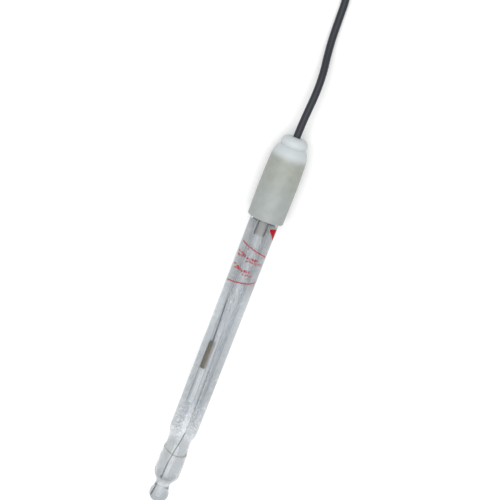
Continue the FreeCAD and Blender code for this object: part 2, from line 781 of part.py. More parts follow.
def fillet(body, base, radius, places):
    """Rounds the edges of a turned body at the given distances from the axis and heights."""
    document.recompute()
    names = []
    for across, height in places:
        names += edges_near(base.Shape, number(across), number(height))
    if len(names) != len(places):
        raise RuntimeError("an edge to round is missing on " + body.Name)
    rounding = body.newObject("PartDesign::Fillet", body.Name + "_rounding")
    rounding.Base = (base, names)
    rounding.Radius = number(radius)
    rounding.setExpression("Radius", radius.formula)
    return rounding


def make_cement():
    """The ring of cement between the glass's ground seat and the relief in the cap's bore."""
    gap = size("clearance")
    inner = size("tube_radius") - size("seat_depth") + gap
    outer = size("tube_radius") + size("cap_bore_gap") + size("relief_depth") - gap
    low = size("relief_low") + size("relief_depth")
    high = size("seat_high") - size("relief_depth")
    ring = [(inner, low), (outer, low), (outer, high), (inner, high)]
    keep(turned("cap_cement", ring, REST), "cap_cement")


def make_cap():
    bore = size("tube_radius") + size("cap_bore_gap")
    low, middle, split = size("cap_low"), size("cap_middle"), size("cap_split")
    rim, wide, top = size("cap_rim_radius"), size("cap_radius"), size("cap_split_radius")
    sleeve = turned(
        "cap_sleeve",
        [
            (bore, low),
            (rim, low, upright_curve(wide - rim, middle - low), 1),
            (wide, middle, upright_curve(wide - top, split - middle), 1),
            (top, split),
            (bore, split),
            (bore, size("seat_high")),
            (bore + size("relief_depth"), size("seat_high") - size("relief_depth")),
            (bore + size("relief_depth"), size("relief_low") + size("relief_depth")),
            (bore, size("relief_low")),
        ],
        REST,
    )
    fillet(sleeve, sleeve.Tip, size("rim_fillet"), [(rim, low), (bore, low)])
    keep(sleeve, "cap_sleeve")
    gap, seam, step = size("clearance"), size("head_seam"), size("head_seam_depth")
    spigot, hollow = bore - gap, size("head_bore")
    shoulder, shoulder_at = size("shoulder_top_radius"), size("shoulder_top")
    groove, collar = size("groove_radius"), size("collar_radius")
    groove_top, slope = shoulder_at + size("groove_width"), size("groove_slope")
    hole, roof = size("cable_radius") + gap, size("head_roof")
    tip, tip_radius, edge = size("cap_top"), size("cap_top_radius"), size("collar_edge")
    head = turned(
        "cap_head",
        [
            (hollow, size("head_spigot_low")),
            (spigot, size("head_spigot_low")),
            (spigot, split),
            (top - step, split),
            (top - step, split + seam),
            (top, split + seam, upright_curve(top - shoulder, shoulder_at - split - seam), 1),
            (shoulder, shoulder_at),
            (groove, shoulder_at + slope),
            (groove, groove_top),
            (collar, groove_top + slope),
            (collar, edge, upright_curve(collar - tip_radius, tip - edge), 1),
            (tip_radius, tip),
            (hole, tip),
            (hole, roof),
            (hollow, roof),
        ],
        REST,
    )
    keep(head, "cap_head")


# Inside the cap


def make_potting_and_joints():
    gap = size("clearance")
    joint, low, high = size("joint_radius"), size("joint_low"), size("joint_high")
    core, jacket_start = size("core_radius"), size("cable_start")
    silver_end = beside(size("cartridge_offset"), size("silver_angle"), low)
    core_joint = rod("core_joint", joint, high - low, lying(Vector(0, number(low), 0)))
    cable_core = rod("cable_core", core, jacket_start - high, lying(Vector(0, number(high), 0)))
    screen_joint = rod("screen_joint", joint, high - low, lying(silver_end))
    tail_start = Vector(silver_end.x, number(high), silver_end.z)
    side = number(size("cable_radius")) - number(size("screen_radius"))
    inward = Vector(silver_end.x, 0, silver_end.z).normalize() * side
    tail_end = Vector(inward.x, number(jacket_start), inward.z)
    rise = tail_end - tail_start
    tail = shaped(
        "screen_tail_blank",
        tube_along(
            [tail_start, tail_start + rise * 0.5 + Vector(0, -0.35, 0), tail_end],
            number(size("screen_radius")),
        )[0],
        REST,
    )
    for piece in (core_joint, cable_core, screen_joint):
        keep(piece, piece.Name)
    jacket = rod(
        "jacket_room",
        size("cable_radius") + gap,
        joint * 4,
        lying(Vector(0, number(jacket_start) - number(gap) / 2, 0)),
    )
    keep(cut("screen_tail", tail, [screen_joint, cable_core, jacket]), "screen_tail")
    chamber = size("tube_radius") - size("tube_wall") - gap
    bore, hollow = size("tube_radius") + size("cap_bore_gap") - gap, size("head_bore") - gap
    bottom, glass_top = size("stem_top") + gap, size("jacket_top") + gap
    spigot, roof = size("head_spigot_low") - gap, size("head_roof") - gap
    blank = turned(
        "potting_blank",
        [
            (ZERO, bottom),
            (chamber, bottom),
            (chamber, glass_top),
            (bore, glass_top),
            (bore, spigot),
            (hollow, spigot),
            (hollow, roof),
            (ZERO, roof),
        ],
        REST,
    )
    sleeve_room = rod(
        "sleeve_pocket",
        size("sleeve_radius") + gap,
        size("sleeve_top") + gap - bottom + 2,
        lying(Vector(0, number(bottom) - 2, 0)),
    )
    lead_room = rod(
        "lead_pocket",
        size("lead_radius") + gap,
        low - size("sleeve_top") + 1,
        lying(Vector(0, number(size("sleeve_top")), 0)),
    )
    joint_room = rod(
        "joint_pocket", joint + gap, high - low + gap * 2, lying(Vector(0, number(low - gap), 0))
    )
    core_room = rod(
        "core_pocket", core + gap, jacket_start - high, lying(Vector(0, number(high), 0))
    )
    cable_room = rod(
        "cable_pocket",
        size("cable_radius") + gap,
        roof - jacket_start + 2,
        lying(Vector(0, number(jacket_start - gap), 0)),
    )
    silver_room = rod(
        "silver_pocket",
        size("silver_radius") + gap,
        low - bottom + 2,
        lying(Vector(silver_end.x, number(bottom) - 2, silver_end.z)),
    )
    screen_room = rod(
        "screen_pocket",
        joint + gap,
        high - low + gap * 2,
        lying(Vector(silver_end.x, number(low - gap), silver_end.z)),
    )
    tail_room = shaped(
        "tail_pocket",
        tube_along(
            [tail_start, tail_start + rise * 0.5 + Vector(0, -0.35, 0), tail_end],
            number(size("screen_radius") + gap),
        )[0],
        REST,
    )
    rooms = [sleeve_room, lead_room, joint_room, core_room, cable_room]
    rooms += [silver_room, screen_room, tail_room]
    keep(cut("potting", blank, rooms), "potting")


# Cable


def make_cable():
    """One metre of cable: out of the cap, wound into a tied hank, and on to the plug."""
    radius = number(size("cable_radius"))
    lift = number(size("tie_thickness"))
    out = [
        REST.multVec(Vector(0, number(size("cable_start")), 0)),
        REST.multVec(Vector(0, number(size("cap_top")) + 6, 0)),
        Vector(1.2, 107.5, 7.0),
        Vector(-0.9, 121.5, 2.6),
        Vector(-1.3, 135.5, radius),
        Vector(-1.4, 149.0, radius + lift),
    ]
    shape, length, radii = tube_along(out, radius)
    print("cable length", round(length, 2), "radii", [round(r, 1) for r in radii])
    keep(shaped("cable", shape, Placement()), "cable")
    layers = int(round(number(size("hank_layers"))))
    far = number(size("hank_near")) + number(size("hank_run"))
    side = -number(size("hank_inner_fold")) - 2 * radius
    top = lift + (2 * layers - 1) * radius
    plug = plug_place()
    tail = [
        Vector(side, far + 4.5, top),
        Vector(side, far + 11.5, top + 0.1),
        plug.multVec(Vector(0, -4.7, 0)),
        plug.multVec(Vector(0, number(size("tail_hold")), 0)),
    ]
    shape, length, radii = tube_along(tail, radius)
    print("tail length", round(length, 2), "radii", [round(r, 1) for r in radii])
    keep(shaped("cable_tail", shape, Placement()), "cable_tail")
    make_cable_end(plug)


def make_cable_end(place):
    """The stripped end of the cable in the plug: jacket, insulation and core."""
    gap = size("clearance")
    jacket, insulation, core = size("cable_radius"), size("insulation_radius"), size("core_radius")
    strip = size("pin_start") - size("core_bare")
    outline = [
        (ZERO, size("tail_hold")),
        (jacket, size("tail_hold")),
        (jacket, size("crimp_step")),
        (insulation, size("crimp_step")),
        (insulation, strip),
        (core, strip),
        (core, size("pin_start") - gap),
        (ZERO, size("pin_start") - gap),
    ]
    keep(turned("cable_end", outline, place), "cable_end")


def hank_outline():
    """Half-width and length of the tied hank: two round ends and a drawn-in waist."""
    gauge = size("cable_radius") * 2
    end = size("hank_inner_fold") + gauge * 1.5
    waist = size("waist_inner_half") + gauge * 1.5
    return end, waist


def make_hank():
    end, waist = hank_outline()
    run, near = number(size("hank_run")), number(size("hank_near"))
    middle = near + run / 2
    end_radius, half_waist = number(end), number(waist)
    layers = number(size("hank_layers"))
    thick = layers * 2 * number(size("cable_radius"))
    lift = number(size("tie_thickness"))
    half_flat = number(size("tie_width")) / 2 + 0.3
    corner = Vector(end_radius, near, 0)
    flat = Vector(half_waist, middle - half_flat, 0)
    bend = (corner + flat) / 2
    curve = ((corner.x - flat.x) ** 2 + (corner.y - flat.y) ** 2) / (4 * (corner.x - flat.x))
    quarter = []
    first = arc_middle(corner, bend, curve, 1)[1]
    second = arc_middle(bend, flat, curve, -1)[1]
    for start, through, finish in ((corner, first, bend), (bend, second, flat)):
        quarter.append((start, through, finish))
    edges = []
    for mirror_x in (1, -1):
        for mirror_y in (1, -1):
            for arc in quarter:
                edges.append(
                    Part.Arc(
                        *[
                            Vector(p.x * mirror_x, middle + (p.y - middle) * mirror_y, 0)
                            for p in arc
                        ]
                    ).toShape()
                )
        edges.append(
            Part.LineSegment(
                Vector(half_waist * mirror_x, middle - half_flat, 0),
                Vector(half_waist * mirror_x, middle + half_flat, 0),
            ).toShape()
        )
    for centre, direction in ((near, -1), (near + run, 1)):
        edges.append(
            Part.Arc(
                Vector(-end_radius, centre, 0),
                Vector(0, centre + direction * end_radius, 0),
                Vector(end_radius, centre, 0),
            ).toShape()
        )
    outline = Part.Wire(Part.__sortEdges__(edges))
    block = Part.Face(outline).extrude(Vector(0, 0, thick))
    block.translate(Vector(0, 0, lift))
    rims = [e for e in block.Edges if abs(e.BoundBox.ZLength) < 0.001]
    hank = block.makeFillet(number(size("cable_radius")) * 0.8, rims)
    keep(shaped("cable_hank", hank, Placement()), "cable_hank")
    make_tie(middle, half_waist, thick, lift)


def make_tie(middle, half_waist, thick, lift):
    """A strap round the hank's waist."""
    gap = number(size("clearance"))
    width = number(size("tie_width"))
    rounding = number(size("cable_radius")) * 0.8 + lift
    outer = rounded_block(half_waist + lift + gap, thick + 2 * (lift + gap), width, rounding)
    inner = rounded_block(half_waist + gap, thick + 2 * gap, width + 2, rounding - lift)
    outer.translate(Vector(0, middle - width / 2, -gap))
    inner.translate(Vector(0, middle - width / 2 - 1, lift - gap))
    strap = outer.cut(inner)
    strap.translate(Vector(0, 0, gap))
    keep(shaped("hank_tie", strap, Placement()), "hank_tie")


def rounded_block(half_width, height, depth, rounding):
    """A block along Y that stands on z = 0, with its four long edges rounded."""
    block = Part.makeBox(2 * half_width, depth, height, Vector(-half_width, 0, 0))
    long_edges = [e for e in block.Edges if abs(e.BoundBox.YLength - depth) < 0.001]
    return block.makeFillet(rounding, long_edges)


# Plug


def plug_place():
    start = number(size("hank_near")) + number(size("hank_run")) + number(size("plug_gap"))
    return Placement(
        Vector(number(size("plug_side")), start, number(size("sleeve_outer"))), Rotation()
    )


def make_boot(place):
    gap = size("clearance")
    hole, wide_hole = size("cable_radius") + gap, size("ferrule_radius") + gap
    tail, wide, end = size("boot_tail_radius"), size("boot_radius"), size("boot_length")
    narrow_hole = size("ferrule_tail_radius") + gap
    crimp, step = size("crimp_start"), size("crimp_step")
    slope = (wide - tail) / step
    outline = [(hole, ZERO), (tail, ZERO)]
    depth, width = size("boot_grip_depth"), size("boot_grip_width")
    for grip in range(int(number(size("boot_grips")))):
        low = size("boot_grip_start") + size("boot_grip_pitch") * grip
        high = low + width
        outline += [
            (tail + slope * low, low),
            (tail + slope * low - depth, low + 0.1),
            (tail + slope * high - depth, high - 0.1),
            (tail + slope * high, high),
        ]
    outline += [
        (wide, step),
        (wide, end - 0.4),
        (wide - 0.4, end),
        (wide_hole, end),
        (wide_hole, step - gap),
        (narrow_hole, step - gap),
        (narrow_hole, crimp - gap),
        (hole, crimp - gap),
    ]
    keep(turned("plug_boot", outline, place), "plug_boot")


def make_ferrule(place):
    gap = size("clearance")
    start, step, end = size("crimp_start"), size("crimp_step"), size("flange_start") - gap
    keep(
        turned(
            "plug_ferrule",
            [
                (size("cable_radius") + gap, start),
                (size("ferrule_tail_radius"), start),
                (size("ferrule_tail_radius"), step),
                (size("ferrule_radius"), step + 0.6),
                (size("ferrule_radius"), end),
                (size("ferrule_bore"), end),
                (size("ferrule_bore"), step + 0.3),
                (size("cable_radius") + gap, step),
            ],
            place,
        ),
        "plug_ferrule",
    )


def make_plug_body(place):
    gap = size("clearance")
    neck, shell = size("body_neck_radius"), size("shell_radius")
    tail = size("ferrule_bore") - gap
    flange, flange_start, flange_end = size("flange_radius"), size("flange_start"), size("flange_end")
    bore, tail_bore = size("insulator_bore"), size("tail_bore")
    ring, ring_end = size("ring_low"), size("ring_high") + gap
    groove = neck - size("ring_depth")
    end, neck_end, seat = size("shell_end"), size("body_neck_end"), size("insulator_start")
    shell_bore = shell - size("shell_wall")
    keep(
        turned(
            "plug_body",
            [
                (tail_bore, size("tail_start")),
                (tail, size("tail_start")),
                (tail, flange_start),
                (flange - 0.4, flange_start),
                (flange, flange_start + 0.4),
                (flange, flange_end - 0.4),
                (flange - 0.4, flange_end),
                (neck, flange_end),
                (neck, ring - gap),
                (groove, ring - gap),
                (groove, ring_end),
                (neck, ring_end),
                (neck, neck_end),
                (shell, neck_end),
                (shell, end - 0.3),
                (shell - 0.3, end),
                (shell_bore, end),
                (shell_bore, size("insulator_end")),
                (bore, size("insulator_end")),
                (bore, seat),
                (tail_bore, seat),
            ],
            place,
        ),
        "plug_body",
    )


def make_contact(place):
    gap = size("clearance")
    start, end = size("insulator_start") + gap, size("insulator_end")
    pin, bore = size("pin_radius"), size("insulator_bore") - gap
    keep(
        turned(
            "plug_insulator",
            [(pin + gap, start), (bore, start), (bore, end), (pin + gap, end)],
            place,
        ),
        "plug_insulator",
    )
    tail, first, last = size("pin_tail_radius"), size("pin_start"), size("pin_end")
    nose = size("pin_radius") / 2
    keep(
        turned(
            "plug_pin",
            [
                (ZERO, first),
                (tail, first),
                (tail, start - gap),
                (pin, start - gap),
                (pin, last - pin),
                (nose, last),
                (ZERO, last),
            ],
            place,
        ),
        "plug_pin",
    )
    section = size("gasket_radius")
    ring = document.addObject("Part::Torus", "plug_gasket")
    middle = size("shell_radius") + section + gap
    ring.Radius1, ring.Radius2 = number(middle), number(section)
    ring.setExpression("Radius1", middle.formula)
    ring.setExpression("Radius2", section.formula)
    height = number(size("body_neck_end") + section + gap)
    ring.Placement = place.multiply(Placement(Vector(0, height, 0), Rotation(UP, AXIS)))
    keep(ring, "plug_gasket")


def cam_slot():
    """One cam slot: a straight entry from the front and a turn that draws the plug in."""
    width = number(size("cam_width"))
    front, entry = number(size("sleeve_front")), number(size("cam_entry"))
    rise, sweep = number(size("cam_rise")), number(size("cam_turn"))
    inner, outer = number(size("sleeve_bore")) - 0.5, number(size("sleeve_outer")) + 0.5
    middle = (inner + outer) / 2
    pieces = [
        Part.makeBox(
            width, entry + 1, outer - inner, Vector(-width / 2, front - entry, inner)
        )
    ]
    steps = 10
    for step in range(steps + 1):
        share = step / steps
        angle = math.radians(sweep * share)
        ease = share * share * (3 - 2 * share)
        height = front - entry - rise * ease
        outward = Vector(math.sin(angle), 0, math.cos(angle))
        base = outward * inner + Vector(0, height, 0)
        pieces.append(Part.makeCylinder(width / 2, outer - inner, base, outward))
    links = []
    for step in range(steps):
        ends = []
        for share in (step / steps, (step + 1) / steps):
            angle = math.radians(sweep * share)
            ease = share * share * (3 - 2 * share)
            ends.append((angle, front - entry - rise * ease))
        angle = (ends[0][0] + ends[1][0]) / 2
        along = Vector(
            middle * (ends[1][0] - ends[0][0]), ends[1][1] - ends[0][1], 0
        )
        link = Part.makeBox(
            along.Length, width, outer - inner, Vector(-along.Length / 2, -width / 2, inner)
        )
        link.rotate(ORIGIN, UP, math.degrees(math.atan2(along.y, along.x)))
        link.rotate(ORIGIN, AXIS, math.degrees(angle))
        link.translate(Vector(0, (ends[0][1] + ends[1][1]) / 2, 0))
        links.append(link)
    slot = pieces[0].multiFuse(pieces[1:] + links)
    return slot.removeSplitter()


def make_sleeve(place):
    outer, bore = size("sleeve_outer"), size("sleeve_bore")
    rear, front = size("sleeve_rear"), size("sleeve_front")
    hub = size("body_neck_radius") + size("running_gap")
    flange_start, flange_end = size("sleeve_flange_start"), size("sleeve_flange_end")
    waist, grip_end = size("sleeve_waist_radius"), size("grip_end")
    counter = size("sleeve_counterbore")
    blank = turned(
        "sleeve_blank",
        [
            (counter, rear),
            (outer - 0.5, rear),
            (outer, rear + 0.5),
            (outer, grip_end - 0.5),
            (outer - 0.3, grip_end),
            (waist, grip_end + 0.6),
            (waist, front - 0.4),
            (waist - 0.4, front),
            (bore, front),
            (bore, flange_end),
            (hub, flange_end),
            (hub, flange_start),
            (counter, flange_start),
        ],
        Placement(),
    )
    flute = size("grip_flute_radius")
    count = int(round(number(size("grip_flutes"))))
    flutes = []
    for turn in range(count):
        around = Rotation(AXIS, 360.0 * (turn + 0.5) / count)
        at = around.multVec(Vector(0, 0, number(outer + flute * 0.45)))
        flutes.append(
            Part.makeCylinder(
                number(flute),
                number(grip_end) - number(rear) + 2,
                at + Vector(0, number(rear) - 1, 0),
                AXIS,
            )
        )
    slot = cam_slot()
    second = slot.copy()
    second.rotate(ORIGIN, AXIS, 180)
    cutter = shaped("sleeve_cutters", Part.makeCompound(flutes + [slot, second]), Placement())
    sleeve = cut("coupling_sleeve", blank, [cutter])
    sleeve.Placement = place
    keep(sleeve, "coupling_sleeve")


def make_take_up(place):
    """Thrust washer, wave spring and retaining ring in front of the sleeve's flange."""
    gap = size("clearance")
    neck, bore = size("body_neck_radius"), size("sleeve_bore")
    washer, spring, ring = size("washer_low"), size("spring_low"), size("ring_low")
    inner, outer = neck + size("running_gap"), bore - gap * 2
    thick = size("thrust_thickness")
    keep(
        turned(
            "thrust_washer",
            [(inner, washer), (outer, washer), (outer, washer + thick), (inner, washer + thick)],
            place,
        ),
        "thrust_washer",
    )
    keep(
        shaped(
            "spring_washer",
            wave_ring(
                number(neck) + 0.08,
                number(outer) - 0.05,
                number(spring),
                number(size("take_up")),
                number(size("spring_thickness")),
            ),
            place,
        ),
        "spring_washer",
    )
    ring_inner, ring_outer = neck - size("ring_depth") + gap, outer - gap
    ring_top = size("ring_high")
    blank = turned(
        "ring_blank",
        [(ring_inner, ring), (ring_outer, ring), (ring_outer, ring_top), (ring_inner, ring_top)],
        Placement(),
    )
    mouth = Part.makeBox(
        3.0, 2.0, number(bore) + 1, Vector(-1.5, number(ring) - 0.5, 0)
    )
    opening = shaped("ring_mouth", mouth, Placement())
    split = cut("retaining_ring", blank, [opening])
    split.Placement = place
    keep(split, "retaining_ring")


def wave_ring(inner, outer, start, height, thick):
    """A thin ring that rises and falls a whole number of times round the axis."""
    waves = int(round(number(size("spring_waves"))))
    count = waves * 8
    rims = []
    for radius in (inner, outer):
        points = []
        for place in range(count):
            angle = 2 * math.pi * place / count
            rise = start + height * (1 + math.cos(waves * angle)) / 2
            points.append(Vector(radius * math.sin(angle), rise, radius * math.cos(angle)))
        curve = Part.BSplineCurve()
        curve.interpolate(points, PeriodicFlag=True)
        rims.append(curve.toShape())
    surface = Part.makeRuledSurface(rims[0], rims[1])
    return surface.extrude(Vector(0, thick, 0))


make_glass()
make_sensing_wire()
make_lead_sleeve()
cartridge = make_half_cell()
make_gel(cartridge)
make_chamber_plug()
make_cap()
make_cement()
make_potting_and_joints()
make_cable()
make_hank()
plug = plug_place()
make_boot(plug)
make_ferrule(plug)
make_plug_body(plug)
make_contact(plug)
make_sleeve(plug)
make_take_up(plug)
document.recompute()

for thing in document.Objects:
    if "Invalid" in thing.State or "Error" in thing.State:
        raise RuntimeError("failed: " + thing.Name + " " + str(thing.State))
os.makedirs("parts", exist_ok=True)
for piece in parts:
    if piece.Shape.isNull() or not piece.Shape.isValid():
        raise RuntimeError("bad shape: " + piece.Label)
    if len(piece.Shape.Solids) < 1:
        raise RuntimeError("no solid: " + piece.Label)
    piece.Shape.exportStep("parts/" + piece.Label + ".step")
    print(piece.Label, len(piece.Shape.Solids), round(piece.Shape.Volume, 2))
print(len(parts), "parts")
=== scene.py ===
"""Looks of the redox electrode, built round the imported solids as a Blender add-on."""

import json
import math
import random

import bmesh
import bpy
from bpy.props import FloatProperty, FloatVectorProperty, IntProperty, PointerProperty
from mathutils import Matrix, Vector


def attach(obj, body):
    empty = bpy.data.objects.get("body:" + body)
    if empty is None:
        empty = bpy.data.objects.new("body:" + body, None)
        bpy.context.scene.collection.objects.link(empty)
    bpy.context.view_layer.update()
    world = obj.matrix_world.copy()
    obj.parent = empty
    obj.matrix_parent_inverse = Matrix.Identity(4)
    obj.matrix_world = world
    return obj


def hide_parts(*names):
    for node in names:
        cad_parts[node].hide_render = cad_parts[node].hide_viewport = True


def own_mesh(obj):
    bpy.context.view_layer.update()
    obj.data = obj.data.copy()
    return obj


bl_info = {
    "name": "Redox electrode",
    "version": (1, 0, 0),
    "blender": (4, 5, 0),
    "location": "3D View > Sidebar > Electrode",
    "description": "Glass, cap, cable and plug of a laboratory electrode",
    "category": "Object",
}

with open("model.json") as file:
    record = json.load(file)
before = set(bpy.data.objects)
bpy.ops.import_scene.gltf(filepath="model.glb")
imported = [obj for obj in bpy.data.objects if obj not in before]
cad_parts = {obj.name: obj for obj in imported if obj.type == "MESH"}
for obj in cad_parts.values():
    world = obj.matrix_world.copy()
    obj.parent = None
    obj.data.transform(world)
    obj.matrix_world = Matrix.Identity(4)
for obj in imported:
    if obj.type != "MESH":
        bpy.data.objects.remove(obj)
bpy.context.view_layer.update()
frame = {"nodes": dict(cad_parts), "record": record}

# Where the electrode lies: its tip is at the start, and its axis climbs slightly towards the cap.
# Heights are millimetres from the tip along that axis, in the upright electrode.
MM = 0.001
MOUNTS = {mount["name"]: mount for mount in frame["record"]["mounts"]}
SHAFT = MOUNTS["shaft"]
TIP_TO_CAP = -Vector(SHAFT["axis"])
SHAFT_MIDDLE = 84.55 * MM
TIP = Vector(SHAFT["pos_m"]) - TIP_TO_CAP * SHAFT_MIDDLE
REST = Matrix.Translation(TIP) @ TIP_TO_CAP.to_track_quat("Y", "Z").to_matrix().to_4x4()
PLUG_LENGTH = 45.8 * MM
PLUG_START = Vector(MOUNTS["plug"]["pos_m"]) - Vector((0.0, PLUG_LENGTH, 0.0))
ROUND_STEPS = 96


# Sizes and colours that a user would change


def length(name, text, value):
    return FloatProperty(
        name=name, description=text, default=value, min=0.0, subtype="DISTANCE", unit="LENGTH"
    )


def colour(name, text, value):
    return FloatVectorProperty(
        name=name, description=text, default=value, size=3, min=0.0, max=1.0, subtype="COLOR"
    )


class GlassSettings(bpy.types.PropertyGroup):
    tint: colour("Glass tint", "Colour of the glass seen through its thickness", (0.745, 0.765, 0.78))
    upper_tint: colour("Upper tint", "Colour of the glass towards the cap", (0.66, 0.66, 0.665))
    bore_tint: colour("Bore tint", "Colour of the shaft's bore", (0.94, 0.955, 0.965))
    stem_tint: colour("Stem tint", "Colour of the inner stem's glass", (0.82, 0.85, 0.875))
    bulb_tint: colour("Bulb tint", "Colour of the bulb's glass", (0.76, 0.775, 0.78))
    ball_tint: colour("Ball tint", "Colour of the solid ball at the tip", (0.38, 0.405, 0.42))
    # Colour of the bubbles, and also of the painted highlight in the gel near the ring seal
    bubble_and_highlight: colour("Bubbles", "Colour of the bubbles in the gel", (0.97, 0.98, 1.0))
    speck: colour("Speck", "Darker specks in the glass", (0.62, 0.64, 0.655))
    # Pale colour of the painted highlight over the neck, above the ball
    neck_highlight: colour("Milky neck", "Colour of the milky glass above the ball", (0.62, 0.65, 0.67))
    haze_low: colour("Haze, dark", "Darker tone of the glass's milky speckle", (0.40, 0.425, 0.45))
    haze_high: colour("Haze, light", "Lighter tone of the glass's milky speckle", (0.66, 0.69, 0.72))
    haze: FloatProperty(name="Haze", description="How milky the glass is", default=0.06, max=1.0)
    gel: colour("Gel", "Colour of the gelled electrolyte", (0.985, 0.99, 0.993))
    print_colour: colour("Print", "Colour of the printed marks", (0.40, 0.004, 0.014))
    seam: colour("Seam", "Colour of the fused seam below the waist", (0.20, 0.172, 0.13))


class InnerSettings(bpy.types.PropertyGroup):
    chloride: colour("Silver chloride", "Brown coating in the cartridge", (0.15, 0.104, 0.043))
    wool: colour("Wool", "White wool in the cartridge", (0.95, 0.95, 0.95))
    wire: colour("Wire", "Lead and silver wires", (0.032, 0.024, 0.022))
    weld: colour("Weld", "Browned bead between the wires", (0.055, 0.022, 0.009))
    pale: colour("Pale wire", "Silver wire where it stays bright", (0.62, 0.64, 0.66))
    plug: colour("Stem plug", "Plug in the inner stem", (0.13, 0.122, 0.1))
    sleeve: colour("Insulating sleeve", "Sleeve round the lead wire", (0.42, 0.45, 0.47))
    ceramic: colour("Ceramic", "Ceramic junction in the shaft's wall", (0.58, 0.58, 0.56))
    resin: colour("Resin", "Potting and cement in the cap", (0.07, 0.07, 0.072))
    solder: colour("Solder", "Soldered joints in the cap", (0.34, 0.34, 0.35))
    copper: colour("Copper", "Cable's core and screen", (0.5, 0.25, 0.13))


class CapSettings(bpy.types.PropertyGroup):
    lower: colour("Lower part", "Colour of the cap at its rim", (0.322, 0.351, 0.342))
    warm: colour("Middle", "Colour of the cap below its head", (0.305, 0.325, 0.289))
    upper: colour("Head", "Colour of the cap's head", (0.545, 0.588, 0.603))
    collar: colour("Collar", "Colour of the cap's collar", (0.56, 0.605, 0.62))
    fleck: colour("Fleck", "Pale flecks in the plastic", (0.62, 0.65, 0.64))


class CableSettings(bpy.types.PropertyGroup):
    colour: colour("Cable", "Colour of the cable's jacket", (0.024, 0.027, 0.036))
    diameter: length("Diameter", "Cable's diameter", 0.003)
    length: length("Length", "Cable's real length", 1.0)
    near: length("Hank's near end", "Centre of the hank's near folds along Y", 0.1617)
    run: length("Hank's run", "Distance between the centres of the hank's folds", 0.027)
    inner_fold: length("Inner fold", "Radius of the hank's inner folds", 0.009)
    inner_waist: length("Inner waist", "Half the distance of the inner turns at the tie", 0.006)
    lift: length("Lift", "Height of the hank's lowest turn above the table", 0.0004)
    tie_colour: colour("Tie", "Colour of the hank's tie", (0.02, 0.02, 0.022))
    points: IntProperty(
        name="Points", description="Points in each turn of the hank", default=20, min=12, max=40
    )


class PlugSettings(bpy.types.PropertyGroup):
    metal: colour("Plating", "Colour of the plug's plating", (0.66, 0.65, 0.63))
    boot: colour("Boot", "Colour of the plug's boot", (0.02, 0.02, 0.022))
    steel: colour("Spring steel", "Colour of the spring and its ring", (0.42, 0.42, 0.43))
    gold: colour("Gold", "Plating of the centre contact", (0.78, 0.56, 0.22))
    insulator: colour("Insulator", "Insulator round the contact", (0.85, 0.85, 0.82))
    gasket: colour("Gasket", "Rubber gasket in the plug's mouth", (0.32, 0.05, 0.03))


class StageSettings(bpy.types.PropertyGroup):
    focal: FloatProperty(
        name="Focal length", description="Camera's focal length in mm", default=74.906, min=1.0
    )
    distance: length("Distance", "Camera's distance from the point it looks at", 0.42277)
    aim: length("Aim", "Place on the electrode's axis that the camera looks at", 0.11906)
    aim_side: FloatProperty(
        name="Aim beside", description="How far the aim lies beside the axis", default=-0.00117
    )
    tilt: FloatProperty(
        name="Tilt",
        description="Angle between the view and the axis's normal",
        default=math.radians(13.3825),
        subtype="ANGLE",
    )
    roll: FloatProperty(
        name="Roll",
        description="Angle of the electrode in the picture, from upright",
        default=math.radians(21.171),
        subtype="ANGLE",
    )
    floor: colour("Floor", "Colour of the table", (0.96, 0.96, 0.96))
    light: FloatProperty(name="Light", description="Strength of the room's light", default=0.43)
    lamp: FloatProperty(name="Lamp", description="Power of the lamp overhead in W", default=16.2)
    lamp_size: length("Lamp's size", "Diameter of the lamp overhead", 1.6)
    lamp_height: length("Lamp's height", "Height of the lamp above the table", 1.2)


GROUPS = (
    ("electrode_glass", GlassSettings),
    ("electrode_inner", InnerSettings),
    ("electrode_cap", CapSettings),
    ("electrode_plug", PlugSettings),
    ("electrode_cable", CableSettings),
    ("electrode_stage", StageSettings),
)


# Shader maths


class Value:
    """A shader socket or a number that Python's operators join with Math nodes."""

    def __init__(self, material, source):
        self.material = material
        self.source = source

    def math(self, operation, *others):
        values = [self] + list(others)
        return self.material.node(
            "ShaderNodeMath",
            {"operation": operation},
            {place: value for place, value in enumerate(values)},
        )

    def __add__(self, other):
        return self.math("ADD", other)

    __radd__ = __add__

    def __sub__(self, other):
        return self.math("SUBTRACT", other)

    def __rsub__(self, other):
        return self.material.value(other).math("SUBTRACT", self)

    def __mul__(self, other):
        return self.math("MULTIPLY", other)

    __rmul__ = __mul__

    def __truediv__(self, other):
        return self.math("DIVIDE", other)

    def over(self, edge, width):
        """1 above the edge, 0 below it, smooth over the width."""
        return ((self - (edge - width / 2)) / width).math("MINIMUM", 1.0).math("MAXIMUM", 0.0)

    def within(self, low, high, width):
        """1 between the two edges, 0 beyond them, smooth over the width."""
        return self.over(low, width) * (1 - self.over(high, width))


def socket_of(sockets, name):
    """A node's socket by its number, or by its identifier where like sockets share a name."""
    if isinstance(name, int):
        return sockets[name]
    return next((socket for socket in sockets if socket.identifier == name), None) or sockets[name]


